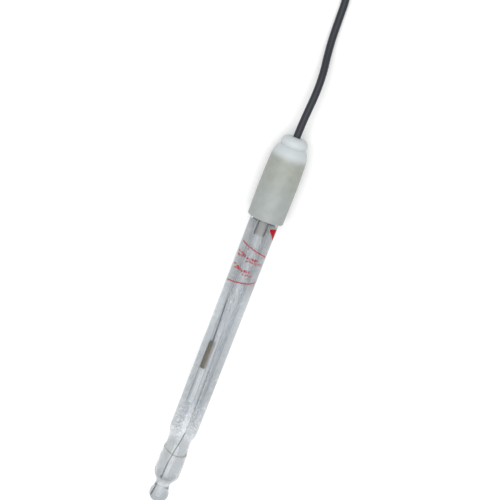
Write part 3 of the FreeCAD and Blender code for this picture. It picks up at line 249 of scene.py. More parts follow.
class Finish:
    """A material under construction."""

    def __init__(self, name):
        self.material = bpy.data.materials.new(name)
        self.material.use_nodes = True
        self.tree = self.material.node_tree
        self.tree.nodes.clear()
        self.output = self.tree.nodes.new("ShaderNodeOutputMaterial")
        self.shader = self.tree.nodes.new("ShaderNodeBsdfPrincipled")
        self.tree.links.new(self.shader.outputs[0], self.output.inputs["Surface"])

    def value(self, number):
        return Value(self, number)

    def feed(self, socket, value):
        source = value.source if isinstance(value, Value) else value
        if isinstance(source, bpy.types.NodeSocket):
            self.tree.links.new(source, socket)
        elif isinstance(source, (tuple, list)) and len(source) == 3 and socket.type == "RGBA":
            socket.default_value = (*source, 1.0)
        else:
            socket.default_value = source

    def node(self, kind, settings=None, inputs=None, output=0):
        """A new node's output, with its settings made first and then its sockets."""
        node = self.tree.nodes.new(kind)
        for name, value in (settings or {}).items():
            setattr(node, name, value)
        for name, value in (inputs or {}).items():
            self.feed(socket_of(node.inputs, name), value)
        return Value(self, socket_of(node.outputs, output))

    def set(self, **inputs):
        """Sets or links the main shader's sockets."""
        for name, value in inputs.items():
            self.feed(self.shader.inputs[name.replace("_", " ")], value)
        return self

    def place(self):
        return self.node("ShaderNodeTexCoord", output="Object")

    def parts(self, vector):
        """The three numbers of a vector."""
        split = self.node("ShaderNodeSeparateXYZ", {}, {"Vector": vector})
        return [Value(self, socket) for socket in split.source.node.outputs]

    def upright(self):
        """Object coordinates in the upright electrode, as x, height and z."""
        lifted = REST.inverted()
        turned = self.node(
            "ShaderNodeMapping",
            {"vector_type": "POINT"},
            {
                "Vector": self.place(),
                "Location": tuple(lifted.to_translation()),
                "Rotation": tuple(lifted.to_euler()),
            },
        )
        return self.parts(turned)

    def noise(self, scale, detail=3.0):
        inputs = {"Vector": self.place(), "Scale": scale, "Detail": detail}
        return self.node("ShaderNodeTexNoise", {}, inputs)

    def mix(self, factor, first, second):
        inputs = {"Factor_Float": factor, "A_Color": first, "B_Color": second}
        return self.node("ShaderNodeMix", {"data_type": "RGBA"}, inputs, "Result_Color")

    def mixed(self, factor, first, second):
        """A mix of two shaders."""
        return self.node("ShaderNodeMixShader", {}, {0: factor, 1: first, 2: second})

    def lit(self):
        """What the main shader gives."""
        return Value(self, self.shader.outputs[0])

    def veil(self, amount, tone):
        """Mixes a matt colour into a clear finish, as on slightly milky glass, and for painted
        highlights on the glass and in the gel.
        """
        inputs = {"Base Color": tone, "Roughness": 1.0, "Specular IOR Level": 0.0}
        matt = self.node("ShaderNodeBsdfPrincipled", {}, inputs)
        self.feed(self.mixing.inputs[1], self.mixed(amount, self.lit(), matt))
        return self

    def bump(self, height, distance, strength):
        inputs = {"Height": height, "Distance": distance, "Strength": strength}
        return self.set(Normal=self.node("ShaderNodeBump", {}, inputs))


def speckled(finish, tone, amount, scale):
    """A colour that varies a little over the surface."""
    dark = tuple(part * (1 - amount) for part in tone)
    light = tuple(min(part * (1 + amount), 1.0) for part in tone)
    return finish.mix(finish.noise(scale, 4.0), dark, light)


def spread(pattern, middle, width):
    """A pattern from 0 to 1 spread over a width round a middle value."""
    return pattern * width + (middle - width / 2)


def moulded(name, tone, roughness, coat=0.0):
    """Moulded plastic with a fine satin surface."""
    finish = Finish(name)
    finish.set(Base_Color=speckled(finish, tone, 0.05, 260.0), Coat_Weight=coat)
    finish.set(Roughness=spread(finish.noise(1500.0), roughness, 0.12), Specular_IOR_Level=0.45)
    return finish.bump(finish.noise(5200.0), 0.02 * MM, 0.35)


def plated(name, tone, roughness=0.22):
    """Turned metal with fine rings along the plug's axis."""
    finish = Finish(name)
    _, along, _ = finish.parts(finish.place())
    inputs = {"W": along, "Scale": 9000.0, "Detail": 3.0}
    rings = finish.node("ShaderNodeTexNoise", {"noise_dimensions": "1D"}, inputs)
    finish.set(Base_Color=speckled(finish, tone, 0.06, 500.0), Metallic=1.0)
    finish.set(Roughness=spread(rings, roughness, 0.16))
    return finish.bump(rings, 0.012 * MM, 0.5)


def drawn(name, tone, roughness=0.3):
    """Drawn wire, with a fine uneven surface."""
    finish = Finish(name)
    finish.set(Base_Color=speckled(finish, tone, 0.15, 2500.0), Metallic=0.85)
    finish.set(Roughness=spread(finish.noise(6000.0), roughness, 0.2))
    return finish.bump(finish.noise(9000.0, 2.0), 0.01 * MM, 0.4)


def clear(name, tint, index):
    """A clear solid that bends light and lets most light through in shadow."""
    finish = Finish(name)
    finish.set(Base_Color=tint, Roughness=0.0, IOR=index, Transmission_Weight=1.0)
    passing = finish.node("ShaderNodeBsdfTransparent", {}, {"Color": (SHADOW_PASS,) * 3})
    shadow_ray = finish.node("ShaderNodeLightPath", output="Is Shadow Ray")
    mixed = finish.mixed(shadow_ray, finish.lit(), passing)
    finish.mixing = mixed.source.node
    finish.feed(finish.output.inputs["Surface"], mixed)
    return finish


# Meshes


def object_from(mesh, name, finish):
    """An object from a bmesh, with its place in its mesh."""
    data = bpy.data.meshes.new(name)
    mesh.to_mesh(data)
    mesh.free()
    data.materials.append(finish.material)
    return linked(name, data)


def linked(name, data):
    piece = bpy.data.objects.new(name, data)
    bpy.context.collection.objects.link(piece)
    return piece


def piece_from(mesh, name, finish):
    """A piece that rides on the electrode and takes its finish from a material slot."""
    piece = object_from(mesh, name, finish)
    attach(piece, "electrode")
    return piece


def spun(outline, place):
    """A ring turned about the Y axis from corners, as mm from the axis and height in mm."""
    mesh = bmesh.new()
    corners = [mesh.verts.new((out * MM, height * MM, 0.0)) for out, height in outline]
    edges = [mesh.edges.new(pair) for pair in zip(corners, corners[1:] + corners[:1])]
    bmesh.ops.spin(
        mesh,
        geom=corners + edges,
        axis=(0.0, 1.0, 0.0),
        cent=(0.0, 0.0, 0.0),
        steps=ROUND_STEPS,
        angle=2 * math.pi,
        use_merge=True,
    )
    bmesh.ops.recalc_face_normals(mesh, faces=mesh.faces)
    bmesh.ops.transform(mesh, matrix=place, verts=mesh.verts)
    shade(mesh, 32.0)
    return mesh


def ring(inner, outer, low, high):
    """The four corners of a plain ring's section."""
    return [(inner, low), (outer, low), (outer, high), (inner, high)]


def shade(mesh, smooth_angle):
    """Smooth faces, with an edge kept sharp where it turns by more than the angle in degrees."""
    for face in mesh.faces:
        face.smooth = True
    limit = math.radians(smooth_angle)
    for edge in mesh.edges:
        edge.smooth = len(edge.link_faces) == 2 and edge.calc_face_angle(0.0) < limit


def arc(start, end, radius, steps):
    """Points between start and end on an arc that turns clockwise, both ends left out."""
    first, last = Vector(start), Vector(end)
    chord = last - first
    right = Vector((chord.y, -chord.x)).normalized()
    centre = (first + last) / 2 + right * math.sqrt(radius**2 - chord.length_squared / 4)
    spoke = first - centre
    sweep = spoke.angle_signed(last - centre)
    return [
        tuple(centre + Matrix.Rotation(-sweep * step / steps, 2) @ spoke)
        for step in range(1, steps)
    ]


def node_finish(finish, *names):
    """Gives the solids of these names a material."""
    for name in names:
        data = frame["nodes"][name].data
        data.materials.clear()
        data.materials.append(finish.material)
        data.shade_smooth()
        data.set_sharp_from_angle(angle=math.radians(28.0))


def settings(name):
    return getattr(bpy.context.scene, name)


# Finishes

# Share of the light that a clear solid lets through in shadow
SHADOW_PASS = 0.92
# How much the glass, the cartridge and the gel bend light
GLASS_INDEX, CARTRIDGE_INDEX = 1.4, 1.12

# Zones of the glass, in mm: the stem's radius, the tops of the ball's and the bulb's greyer
# glass, the start of the upper shaft's, and the blend between them
STEM_ZONE, BALL_ZONE, BULB_ZONE, UPPER_ZONE, ZONE_BLEND = 3.2, 8.5, 32.0, 102.0, 0.6
# The painted highlight over the neck, a pale matt band: its lower and upper end, the blend and how
# strong it is
NECK_ZONE, NECK_BLEND, NECK_HIGHLIGHT = (8.8, 13.2), 2.0, 0.26
# The shaft's outside, in mm from the axis, how milky the bulb is, and the speckle's softness
OUTER_ZONE, BULB_MILK, SPECKLE_SPREAD = 5.5, 0.05, 0.3

# Where the silver wire turns bright, in mm
BRIGHT_WIRE, BRIGHT_WIRE_BLEND = 98.0, 6.0

# Tones of the cap, in mm: where it turns warmer and where it pales, each with its blend, and drift
CAP_WARM, CAP_WARM_BLEND, CAP_PALE, CAP_PALE_BLEND, CAP_DRIFT = 148.0, 12.0, 160.0, 3.2, 4.0
CAP_COLLAR, CAP_COLLAR_BLEND = 164.8, 0.8

# Shapes, in mm

# The gel: the stem and the bore that it fills, its level, and where it meets the ring seal
GEL_INNER, GEL_OUTER, GEL_TOP = 2.24, 5.06, 132.4
GEL_SEAL_INNER, GEL_SEAL_OUTER, GEL_SEAL_ROUND, GEL_SEAL_STEPS = 45.4, 36.5, 15.4, 14
# Painted highlight in the gel near the ring seal, a pale matt colour: the height it reaches, its
# blend and its strength
GEL_HIGHLIGHT_TOP, GEL_HIGHLIGHT_BLEND, GEL_HIGHLIGHT_STRENGTH = 47.0, 8.0, 0.42

# Bubbles in the gel: heights and number in each zone, distance from the axis, size and shape
BUBBLE_ZONES = [(38.5, 49.0, 80), (49.0, 66.0, 24), (94.0, 106.0, 44)]
BUBBLE_REACH, BUBBLE_SIZE, BUBBLE_SEED = (3.6, 4.9), (0.08, 0.2), 7
BUBBLE_SHAPE = (1.0, 1.5, 0.7, 1.0)

# The plug in the stem: the lead's sleeve, the stem's bore, its foot and its top
STEM_PLUG_INNER, STEM_PLUG_OUTER, STEM_PLUG_FOOT, STEM_PLUG_TOP = 1.03, 1.66, 126.5, 134.0

# The fused seam: its radius, height, width, half its angle in degrees, its dip and its tilt
SEAM_RADIUS, SEAM_HEIGHT, SEAM_WIDTH, SEAM_HALF = 5.46, 25.2, 0.26, 84.0
SEAM_DIP, SEAM_TILT = 0.9, 0.65

# Marks on the glass: angles in degrees to the right of the top
PRINT_RADIUS, PRINT_DEPTH, BAND_STEP = 6.02, 0.06, 2.5
# Angle, half-width, height, line width and climb to the right
PRINTED_LINES = [
    (5.0, 62.0, 122.4, 0.42, -3.4),
    (4.0, 70.0, 104.8, 0.42, 2.6),
]
# Rows of small marks: height, tallest mark, first and last angle
PRINTED_ROWS = [
    (117.8, 0.7, -62.0, -16.0),
    (116.6, 1.1, -58.0, 30.0),
    (115.2, 0.8, -12.0, 62.0),
    (112.3, 0.6, -66.0, -30.0),
    (110.9, 1.2, -50.0, 22.0),
    (109.6, 0.7, -6.0, 36.0),
]
MARK_WIDTH, MARK_GAP, MARK_DRIFT, MARK_SEED = (3.0, 8.0), (1.5, 5.0), 0.3, 5
MARK_LEAST = 0.5
# Angle, half-width, lowest and highest height, and the share of its height at its left side
PRINTED_PATCH, PATCH_LEFT = (57.0, 22.0, 126.0, 131.2), 0.15

# Wave spring in the plug, in mm from the boot's end and from the plug's axis
SPRING_LOW, SPRING_TRAVEL, SPRING_THICKNESS = 29.5, 0.8, 0.25
SPRING_INNER, SPRING_OUTER, SPRING_WAVES = 4.48, 4.8, 3


# Operators


class ELECTRODE_OT_glass(bpy.types.Operator):
    """Finish the blown glass, the gel in it and the marks on it"""

    bl_idname = "electrode.glass"
    bl_label = "Glass"

    def execute(self, context):
        chosen = settings("electrode_glass")
        node_finish(self.blown(chosen), "glass_body")
        cartridge = clear("cartridge_glass", tuple(chosen.tint), CARTRIDGE_INDEX)
        node_finish(cartridge, "cartridge_tube")
        self.gel(chosen)
        self.bubbles(chosen)
        self.seam(chosen)
        self.marks(chosen)
        return {"FINISHED"}

    def blown(self, chosen):
        """Clear glass, greyer in the bulb and in the inner stem, with a fine milky speckle and a
        painted highlight over the neck.
        """
        finish = clear("clear_glass", tuple(chosen.tint), GLASS_INDEX)
        side, height, depth = finish.upright()
        radius = (side * side + depth * depth).math("SQRT")
        stem = 1 - radius.over(STEM_ZONE * MM, ZONE_BLEND * MM)
        low = 1 - height.over(BULB_ZONE * MM, 4 * ZONE_BLEND * MM)
        high = height.over(UPPER_ZONE * MM, 16 * ZONE_BLEND * MM)
        tone = finish.mix(high, tuple(chosen.tint), tuple(chosen.upper_tint))
        outer = radius.over(OUTER_ZONE * MM, ZONE_BLEND * MM)
        tone = finish.mix(outer, tuple(chosen.bore_tint), tone)
        tone = finish.mix(stem, tone, tuple(chosen.stem_tint))
        tone = finish.mix(low, tone, tuple(chosen.bulb_tint))
        ball = 1 - height.over(BALL_ZONE * MM, 2 * ZONE_BLEND * MM)
        tone = finish.mix(ball, tone, tuple(chosen.ball_tint))
        speckle = finish.noise(1300.0, 4.0).over(0.5, SPECKLE_SPREAD)
        finish.set(Base_Color=finish.mix(speckle * 0.5, tone, tuple(chosen.speck)))
        finish.set(Roughness=finish.noise(700.0) * 0.08)
        finish.bump(finish.noise(420.0, 4.0), 0.05 * MM, 0.5)
        # The neck's pale matt band is a painted highlight, mixed into the glass with its veil
        neck_highlight = height.within(NECK_ZONE[0] * MM, NECK_ZONE[1] * MM, NECK_BLEND * MM)
        haze = finish.mix(speckle, tuple(chosen.haze_low), tuple(chosen.haze_high))
        return finish.veil(
            speckle * (2 * chosen.haze) + low * BULB_MILK + neck_highlight * NECK_HIGHLIGHT,
            finish.mix(neck_highlight, haze, tuple(chosen.neck_highlight)),
        )

    def gel(self, chosen):
        """The gel reaches a little into the glass, so no film of air shows between them."""
        inner, outer = (GEL_INNER, GEL_SEAL_INNER), (GEL_OUTER, GEL_SEAL_OUTER)
        outline = [inner, (GEL_INNER, GEL_TOP), (GEL_OUTER, GEL_TOP), outer]
        outline += arc(outer, inner, GEL_SEAL_ROUND, GEL_SEAL_STEPS)
        finish = clear("gel", tuple(chosen.gel), GLASS_INDEX)
        _, height, _ = finish.upright()
        # Near the ring seal the gel is paler: a painted highlight, mixed in as a matt colour in the
        # bubbles' tone
        seal_highlight = 1 - height.over(GEL_HIGHLIGHT_TOP * MM, GEL_HIGHLIGHT_BLEND * MM)
        speckle = finish.noise(1500.0, 4.0).over(0.5, SPECKLE_SPREAD)
        finish.veil(speckle * seal_highlight * GEL_HIGHLIGHT_STRENGTH, tuple(chosen.bubble_and_highlight))
        piece = piece_from(spun(outline, REST), "gel", finish)
        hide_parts("gel_filling")

    def bubbles(self, chosen):
        """Small bubbles caught in the gel near the ring seal and under the printed marks."""
        mesh = bmesh.new()
        chance = random.Random(BUBBLE_SEED)
        for low, high, count in BUBBLE_ZONES:
            for _ in range(count):
                turn = chance.uniform(0.0, 2 * math.pi)
                out, height = chance.uniform(*BUBBLE_REACH), chance.uniform(low, high)
                size = chance.uniform(*BUBBLE_SIZE)
                spot = Vector((out * math.sin(turn), height, out * math.cos(turn))) * MM
                shape = Matrix.Translation(spot) @ Matrix.Diagonal(BUBBLE_SHAPE)
                bmesh.ops.create_icosphere(
                    mesh, subdivisions=2, radius=size * MM, matrix=REST @ shape
                )
        shade(mesh, 60.0)
        finish = moulded("bubbles", tuple(chosen.bubble_and_highlight), 0.3)
        piece_from(mesh, "gel_bubbles", finish)

    def seam(self, chosen):
        """The fused seam under the waist, a fine line that dips at the front."""
        mesh = bmesh.new()
        band(mesh, 0.0, SEAM_HALF, SEAM_RADIUS, SEAM_HEIGHT, SEAM_HEIGHT + SEAM_WIDTH)
        for corner in mesh.verts:
            across = corner.co.x / (SEAM_RADIUS * MM)
            corner.co.y += (SEAM_DIP * across**2 - SEAM_TILT * across) * MM
        bmesh.ops.transform(mesh, matrix=REST, verts=mesh.verts)
        finish = moulded("fused_seam", tuple(chosen.seam), 0.3)
        piece_from(mesh, "fused_seam", finish)

    def marks(self, chosen):
        """Plain printed marks: two lines, rows of specks and a patch, with no words."""
        finish = moulded("print", tuple(chosen.print_colour), 0.6).set(Specular_IOR_Level=0.1)
        mesh = bmesh.new()
        for angle, half, low, width, climb in PRINTED_LINES:
            band(mesh, angle, half, PRINT_RADIUS, low, low + width, climb)
        chance = random.Random(MARK_SEED)
        for height, tallest, angle, last in PRINTED_ROWS:
            while angle < last:
                half = chance.uniform(*MARK_WIDTH) / 2
                low = height + chance.uniform(-MARK_DRIFT, MARK_DRIFT)
                tall = tallest * chance.uniform(MARK_LEAST, 1.0)
                band(mesh, angle + half, half, PRINT_RADIUS, low, low + tall)
                angle += 2 * half + chance.uniform(*MARK_GAP)
        angle, half, low, high = PRINTED_PATCH
        for corner in band(mesh, angle, half, PRINT_RADIUS, low, high):
            turn = math.degrees(math.atan2(corner.co.x, corner.co.z))
            share = PATCH_LEFT + (1 - PATCH_LEFT) * (turn - angle + half) / (2 * half)
            corner.co.y = high * MM - (high * MM - corner.co.y) * share
        bmesh.ops.transform(mesh, matrix=REST, verts=mesh.verts)
        piece_from(mesh, "printed_marks", finish)


def band(mesh, angle, half, radius, low, high, climb=0.0):
    """A thin curved band round the Y axis, that may climb from left to right. Sizes are in mm.

    It returns the band's corners.
    """
    known = set(mesh.verts)
    steps = max(2, int(half / BAND_STEP))
    first = math.radians(angle - half)
    inside = radius - PRINT_DEPTH
    section = ((radius, low), (radius, high), (inside, high), (inside, low))
    start = [
        mesh.verts.new((out * math.sin(first) * MM, height * MM, out * math.cos(first) * MM))
        for out, height in section
    ]
    face = mesh.faces.new(start)
    bmesh.ops.spin(
        mesh,
        geom=start + list(face.edges) + [face],
        axis=(0.0, 1.0, 0.0),
        cent=(0.0, 0.0, 0.0),
        dvec=(0.0, climb * MM / steps, 0.0),
        steps=steps,
        angle=math.radians(2 * half),
        use_merge=False,
    )
    bmesh.ops.recalc_face_normals(mesh, faces=mesh.faces)
    return [corner for corner in mesh.verts if corner not in known]


class ELECTRODE_OT_inner(bpy.types.Operator):
    """Finish the wires, the half-cell and the plugs inside the glass"""

    bl_idname = "electrode.inner"
    bl_label = "Inside the glass"

    def execute(self, context):
        chosen = settings("electrode_inner")
        node_finish(drawn("lead", tuple(chosen.wire)), "lead_wire")
        node_finish(self.silver(chosen), "silver_wire")
        node_finish(moulded("weld", tuple(chosen.weld), 0.5), "platinum_wire", "wire_joint")
        node_finish(drawn("solder", tuple(chosen.solder)), "core_joint", "screen_joint")
        node_finish(self.chloride(tuple(chosen.chloride)), "silver_chloride")
        node_finish(self.wool(tuple(chosen.wool)), "wool_plug")
        sealant = moulded("sealant", tuple(chosen.plug), 0.8).set(Specular_IOR_Level=0.1)
        node_finish(sealant, "chamber_plug")
        self.stem_plug(sealant)
        sleeve = moulded("insulating_sleeve", tuple(chosen.sleeve), 0.3, 0.2)
        node_finish(sleeve, "lead_sleeve")
        node_finish(moulded("ceramic", tuple(chosen.ceramic), 0.6), "ceramic_junction")
        node_finish(moulded("resin", tuple(chosen.resin), 0.4), "potting", "cap_cement")
        node_finish(drawn("copper", tuple(chosen.copper)), "cable_core", "screen_tail")
        return {"FINISHED"}

    def silver(self, chosen):
        """Silver wire, dark above the half-cell and bright towards the cap."""
        finish = drawn("silver_wire", tuple(chosen.wire))
        _, height, _ = finish.upright()
        bright = height.over(BRIGHT_WIRE * MM, BRIGHT_WIRE_BLEND * MM)
        grain = finish.noise(2500.0, 4.0)
        tone = finish.mix(bright, tuple(chosen.wire), tuple(chosen.pale))
        finish.set(Base_Color=finish.mix(grain * 0.2, tone, tuple(chosen.weld)))
        return finish

    def stem_plug(self, sealant):
        """The plug grips the stem's bore, so no film of air shows round it."""
        outline = ring(STEM_PLUG_INNER, STEM_PLUG_OUTER, STEM_PLUG_FOOT, STEM_PLUG_TOP)
        piece = piece_from(spun(outline, REST), "stem_sealant", sealant)
        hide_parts("stem_plug")

    def chloride(self, tone):
        """A rough, uneven coating."""
        finish = Finish("silver_chloride")
        finish.set(Base_Color=speckled(finish, tone, 0.35, 1400.0), Roughness=0.7)
        return finish.bump(finish.noise(3000.0, 4.0), 0.05 * MM, 0.7)

    def wool(self, tone):
        """Packed fibres with no gloss."""
        finish = Finish("wool")
        finish.set(Base_Color=speckled(finish, tone, 0.06, 2000.0), Roughness=0.85)
        return finish.bump(finish.noise(4000.0, 5.0), 0.08 * MM, 0.8)


class ELECTRODE_OT_cap(bpy.types.Operator):
    """Finish the two parts of the cap"""

    bl_idname = "electrode.cap"
    bl_label = "Cap"

    def execute(self, context):
        chosen = settings("electrode_cap")
        node_finish(self.plastic(chosen), "cap_sleeve", "cap_head")
        return {"FINISHED"}

    def plastic(self, chosen):
        """Milky plastic whose tone drifts along the cap and pales at the head."""
        finish = Finish("cap_plastic")
        _, height, _ = finish.upright()
        drift = finish.noise(75.0, 2.0) * (2 * CAP_DRIFT * MM) + (height - CAP_DRIFT * MM)
        warm = drift.over(CAP_WARM * MM, CAP_WARM_BLEND * MM)
        pale = height.over(CAP_PALE * MM, CAP_PALE_BLEND * MM)
        collar = height.over(CAP_COLLAR * MM, CAP_COLLAR_BLEND * MM)
        tone = finish.mix(warm, tuple(chosen.lower), tuple(chosen.warm))
        tone = finish.mix(pale, tone, tuple(chosen.upper))
        tone = finish.mix(collar, tone, tuple(chosen.collar))
        grain = finish.noise(380.0, 4.0).over(0.5, 0.4)
        finish.set(Base_Color=finish.mix(grain * 0.14, tone, tuple(chosen.fleck)))
        finish.set(Roughness=spread(finish.noise(1500.0), 0.52, 0.12))
        finish.set(Specular_IOR_Level=0.4, Coat_Weight=0.08)
        return finish.bump(finish.noise(900.0, 4.0), 0.03 * MM, 0.4)


# Cable

# The cable's route inside the cap, in mm from the tip: its exit from the potting, and on to the air
EXIT_POINTS = (157.0, 165.5, 174.6)
# The route on the table, in metres
FREE_POINTS = [
    (0.0012, 0.1075, 0.0070),
    (-0.0009, 0.1215, 0.0026),
    (-0.0013, 0.1330, 0.0015),
    (-0.00145, 0.1400, 0.0016),
]
ENTRY_POINTS = [(-0.0024, 0.1447, 0.0019), (-0.0057, 0.1499, 0.0019), (-0.0104, 0.1546, 0.0019)]
# From the hank's last turn to the boot: the distance past its far folds, and the rise
TAIL_POINTS = [(0.0045, 0.0), (0.0115, 0.0001)]
# Inside the boot, in mm from the boot's end
BOOT_POINTS = (-4.7, 3.2, 13.9)
# Each turn's layer, and 1 for an outer turn or 0 for an inner one
SLOTS = [(1, 1), (1, 0), (2, 0), (2, 1), (3, 1), (3, 0), (4, 0), (4, 1)]
# Shares of a turn: each run, each fold, and where a turn starts to change to the next one's place
RUN_SHARE, FOLD_SHARE, FIRST_CHANGE, CHANGE, EARLY = 0.24, 0.26, 0.27, 0.087, 0.012
# A curve through few points cuts a fold's corners, so they stand out by this factor
FOLD_REACH = 1.012


def turn_point(share, fold, waist, near, run):
    """A point of one turn: the left run, the far fold, the right run and the near fold."""
    outward = share < 0.5
    half = share if outward else share - 0.5
    if half < RUN_SHARE:
        along = half / RUN_SHARE
        side = fold - (fold - waist) * (0.5 - 0.5 * math.cos(2 * math.pi * along))
        return (-side, near + run * along) if outward else (side, near + run * (1 - along))
    angle = math.pi * (half - RUN_SHARE) / FOLD_SHARE
    across, out = fold * math.cos(angle) * FOLD_REACH, fold * math.sin(angle) * FOLD_REACH
    return (-across, near + run + out) if outward else (across, near - out)


def turn_slot(chosen, turn):
    """A turn's place in the hank: its fold, its waist and its height."""
    layer, outer = SLOTS[turn]
    gauge = chosen.diameter
    return (
        chosen.inner_fold + gauge * outer,
        chosen.inner_waist + gauge * outer,
        chosen.lift + gauge * (layer - 0.5),
    )


def hank_points(chosen):
    """The turns of the tied hank, each changing to the next one's place in a window of its own."""
    points = []
    last = len(SLOTS) - 1
    for turn in range(len(SLOTS)):
        for step in range(chosen.points):
            share = step / chosen.points
            if turn == last and share > RUN_SHARE:
                break
            opening = FIRST_CHANGE + CHANGE * (last - 1 - turn) - EARLY
            moved = (share - opening) / (CHANGE + 2 * EARLY) if turn < last else 0.0
            moved = min(max(moved, 0.0), 1.0)
            moved = moved * moved * (3 - 2 * moved)
            here, after = turn_slot(chosen, turn), turn_slot(chosen, min(turn + 1, last))
            fold, waist, height = [old + (new - old) * moved for old, new in zip(here, after)]
            points.append((*turn_point(share, fold, waist, chosen.near, chosen.run), height))
    return points


class ELECTRODE_OT_cable(bpy.types.Operator):
    """Lay the cable, wind it into its hank and tie it"""

    bl_idname = "electrode.cable"
    bl_label = "Cable"

    def execute(self, context):
        chosen = settings("electrode_cable")
        jacket = self.jacket(chosen)
        cable = self.tube(self.route(chosen), chosen, jacket)
        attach(cable, "electrode")
        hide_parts("cable", "cable_hank", "cable_tail")
        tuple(self.inside_cap()[0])
        node_finish(moulded("tie", tuple(chosen.tie_colour), 0.4), "hank_tie")
        node_finish(jacket, "cable_end")
        return {"FINISHED"}

    def inside_cap(self):
        return [tuple(REST @ Vector((0.0, height * MM, 0.0))) for height in EXIT_POINTS]

    def route(self, chosen):
        """Out of the cap, down to the table, round the hank and into the plug's boot."""
        far = chosen.near + chosen.run
        side = -chosen.inner_fold - chosen.diameter
        top = turn_slot(chosen, len(SLOTS) - 1)[2]
        tail = [(side, far + past, top + rise) for past, rise in TAIL_POINTS]
        boot = [tuple(PLUG_START + Vector((0.0, along * MM, 0.0))) for along in BOOT_POINTS]
        table = FREE_POINTS + ENTRY_POINTS
        return self.inside_cap() + table + hank_points(chosen) + tail + boot

    def jacket(self, chosen):
        """The cable's dark satin jacket."""
        finish = Finish("cable_jacket")
        finish.set(Base_Color=speckled(finish, tuple(chosen.colour), 0.08, 700.0))
        finish.set(Roughness=spread(finish.noise(2500.0), 0.49, 0.14), Specular_IOR_Level=0.35)
        return finish.bump(finish.noise(5000.0), 0.02 * MM, 0.35)

    def tube(self, points, chosen, jacket):
        """A round cable along a smooth line near the route's points."""
        data = bpy.data.curves.new("cable", "CURVE")
        data.dimensions = "3D"
        data.resolution_u = 8
        data.bevel_depth = chosen.diameter / 2
        data.bevel_resolution = 5
        data.use_fill_caps = True
        spline = data.splines.new("NURBS")
        spline.points.add(len(points) - 1)
        for place, point in zip(spline.points, points):
            place.co = (*point, 1.0)
        spline.order_u = 3
        spline.use_endpoint_u = True
        data.materials.append(jacket.material)
        return linked("cable_line", data)


class ELECTRODE_OT_plug(bpy.types.Operator):
    """Finish the plug"""

    bl_idname = "electrode.plug"
    bl_label = "Plug"

    def execute(self, context):
        chosen = settings("electrode_plug")
        metal = plated("plug_plating", tuple(chosen.metal))
        node_finish(metal, "plug_body", "coupling_sleeve", "plug_ferrule", "thrust_washer")
        steel = plated("spring_steel", tuple(chosen.steel))
        node_finish(steel, "retaining_ring")
        self.spring(steel)
        node_finish(plated("gold_plating", tuple(chosen.gold)), "plug_pin")
        insulator = moulded("white_insulator", tuple(chosen.insulator), 0.4)
        node_finish(insulator, "plug_insulator")
        node_finish(moulded("gasket_rubber", tuple(chosen.gasket), 0.5), "plug_gasket")
        node_finish(moulded("boot_rubber", tuple(chosen.boot), 0.5), "plug_boot")
        return {"FINISHED"}

    def spring(self, steel):
        """The wave spring, a thin steel ring with waves round it."""
        flat = ring(SPRING_INNER, SPRING_OUTER, SPRING_LOW, SPRING_LOW + SPRING_THICKNESS)
        mesh = spun(flat, Matrix.Identity(4))
        for corner in mesh.verts:
            turn = math.atan2(corner.co.x, corner.co.z)
            corner.co.y += SPRING_TRAVEL * MM * (1 + math.cos(SPRING_WAVES * turn)) / 2
        bmesh.ops.translate(mesh, verts=mesh.verts, vec=PLUG_START)
        piece = piece_from(mesh, "wave_spring", steel)
        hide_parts("spring_washer")
        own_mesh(piece)


# Camera's sensor in mm, its clipping, the table's reach from the middle and its gap in metres, and
# how many times light may bounce in the glass
SENSOR_WIDTH, CLIPPING, FLOOR_REACH, FLOOR_GAP, GLASS_BOUNCES = 36.0, (0.01, 20.0), 6.0, 0.0002, 24


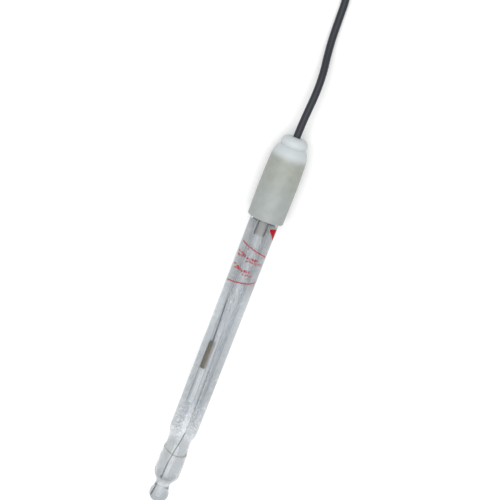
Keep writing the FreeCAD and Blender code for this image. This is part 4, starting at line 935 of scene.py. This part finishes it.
class ELECTRODE_OT_stage(bpy.types.Operator):
    """Set the camera, the light and the floor"""

    bl_idname = "electrode.stage"
    bl_label = "Stage"

    def execute(self, context):
        chosen = settings("electrode_stage")
        self.camera(chosen)
        self.floor(chosen)
        self.light(chosen)
        return {"FINISHED"}

    def camera(self, chosen):
        """Looks down on the electrode at the photograph's angle."""
        aim = REST @ Vector((chosen.aim_side, chosen.aim, 0.0))
        axis, side = TIP_TO_CAP, Vector((1.0, 0.0, 0.0))
        normal = side.cross(axis)
        outward = normal * math.cos(chosen.tilt) + axis * math.sin(chosen.tilt)
        up_axis = (axis - outward * axis.dot(outward)).normalized()
        up = up_axis * math.cos(chosen.roll) - side * math.sin(chosen.roll)
        right = up.cross(outward).normalized()
        data = bpy.data.cameras.new("camera")
        data.lens = chosen.focal
        data.sensor_fit = "HORIZONTAL"
        data.sensor_width = SENSOR_WIDTH
        data.clip_start, data.clip_end = CLIPPING
        camera = linked("camera", data)
        turn = Matrix((right, up, outward)).transposed().to_4x4()
        camera.matrix_world = Matrix.Translation(aim + outward * chosen.distance) @ turn
        bpy.context.scene.camera = camera

    def floor(self, chosen):
        """A plain pale table with no gloss."""
        mesh = bmesh.new()
        bmesh.ops.create_grid(mesh, x_segments=1, y_segments=1, size=FLOOR_REACH)
        bmesh.ops.translate(mesh, verts=mesh.verts, vec=(0.0, 0.0, -FLOOR_GAP))
        finish = Finish("floor")
        finish.set(Base_Color=tuple(chosen.floor), Roughness=0.9, Specular_IOR_Level=0.0)
        object_from(mesh, "floor", finish)

    def light(self, chosen):
        """An even white room and a wide lamp overhead."""
        world = bpy.data.worlds.new("room")
        world.use_nodes = True
        background = world.node_tree.nodes["Background"]
        background.inputs[0].default_value = (1.0, 1.0, 1.0, 1.0)
        background.inputs[1].default_value = chosen.light
        bpy.context.scene.world = world
        data = bpy.data.lights.new("overhead", "AREA")
        data.shape = "DISK"
        data.size = chosen.lamp_size
        data.energy = chosen.lamp
        linked("overhead", data).location = (0.0, 0.0, chosen.lamp_height)
        scene = bpy.context.scene
        scene.view_settings.view_transform = "Standard"
        scene.cycles.max_bounces = GLASS_BOUNCES
        scene.cycles.transmission_bounces = GLASS_BOUNCES
        scene.cycles.transparent_max_bounces = GLASS_BOUNCES


class ELECTRODE_PT_pieces(bpy.types.Panel):
    """The electrode's pieces"""

    bl_idname = "ELECTRODE_PT_pieces"
    bl_label = "Electrode"
    bl_space_type = "VIEW_3D"
    bl_region_type = "UI"
    bl_category = "Electrode"

    def draw(self, context):
        for (name, group), operator in zip(GROUPS, STEPS):
            box = self.layout.box()
            box.operator(operator.bl_idname)
            for field in group.__annotations__:
                box.prop(getattr(context.scene, name), field)


STEPS = (
    ELECTRODE_OT_glass,
    ELECTRODE_OT_inner,
    ELECTRODE_OT_cap,
    ELECTRODE_OT_plug,
    ELECTRODE_OT_cable,
    ELECTRODE_OT_stage,
)


def register():
    for name, group in GROUPS:
        bpy.utils.register_class(group)
        setattr(bpy.types.Scene, name, PointerProperty(type=group))
    for step in STEPS:
        bpy.utils.register_class(step)
    bpy.utils.register_class(ELECTRODE_PT_pieces)


def unregister():
    bpy.utils.unregister_class(ELECTRODE_PT_pieces)
    for step in reversed(STEPS):
        bpy.utils.unregister_class(step)
    for name, group in reversed(GROUPS):
        delattr(bpy.types.Scene, name)
        bpy.utils.unregister_class(group)


def main():
    register()
    bpy.ops.electrode.glass()
    bpy.ops.electrode.inner()
    bpy.ops.electrode.cap()
    bpy.ops.electrode.plug()
    bpy.ops.electrode.cable()
    bpy.ops.electrode.stage()


if __name__ == "__main__":
    main()
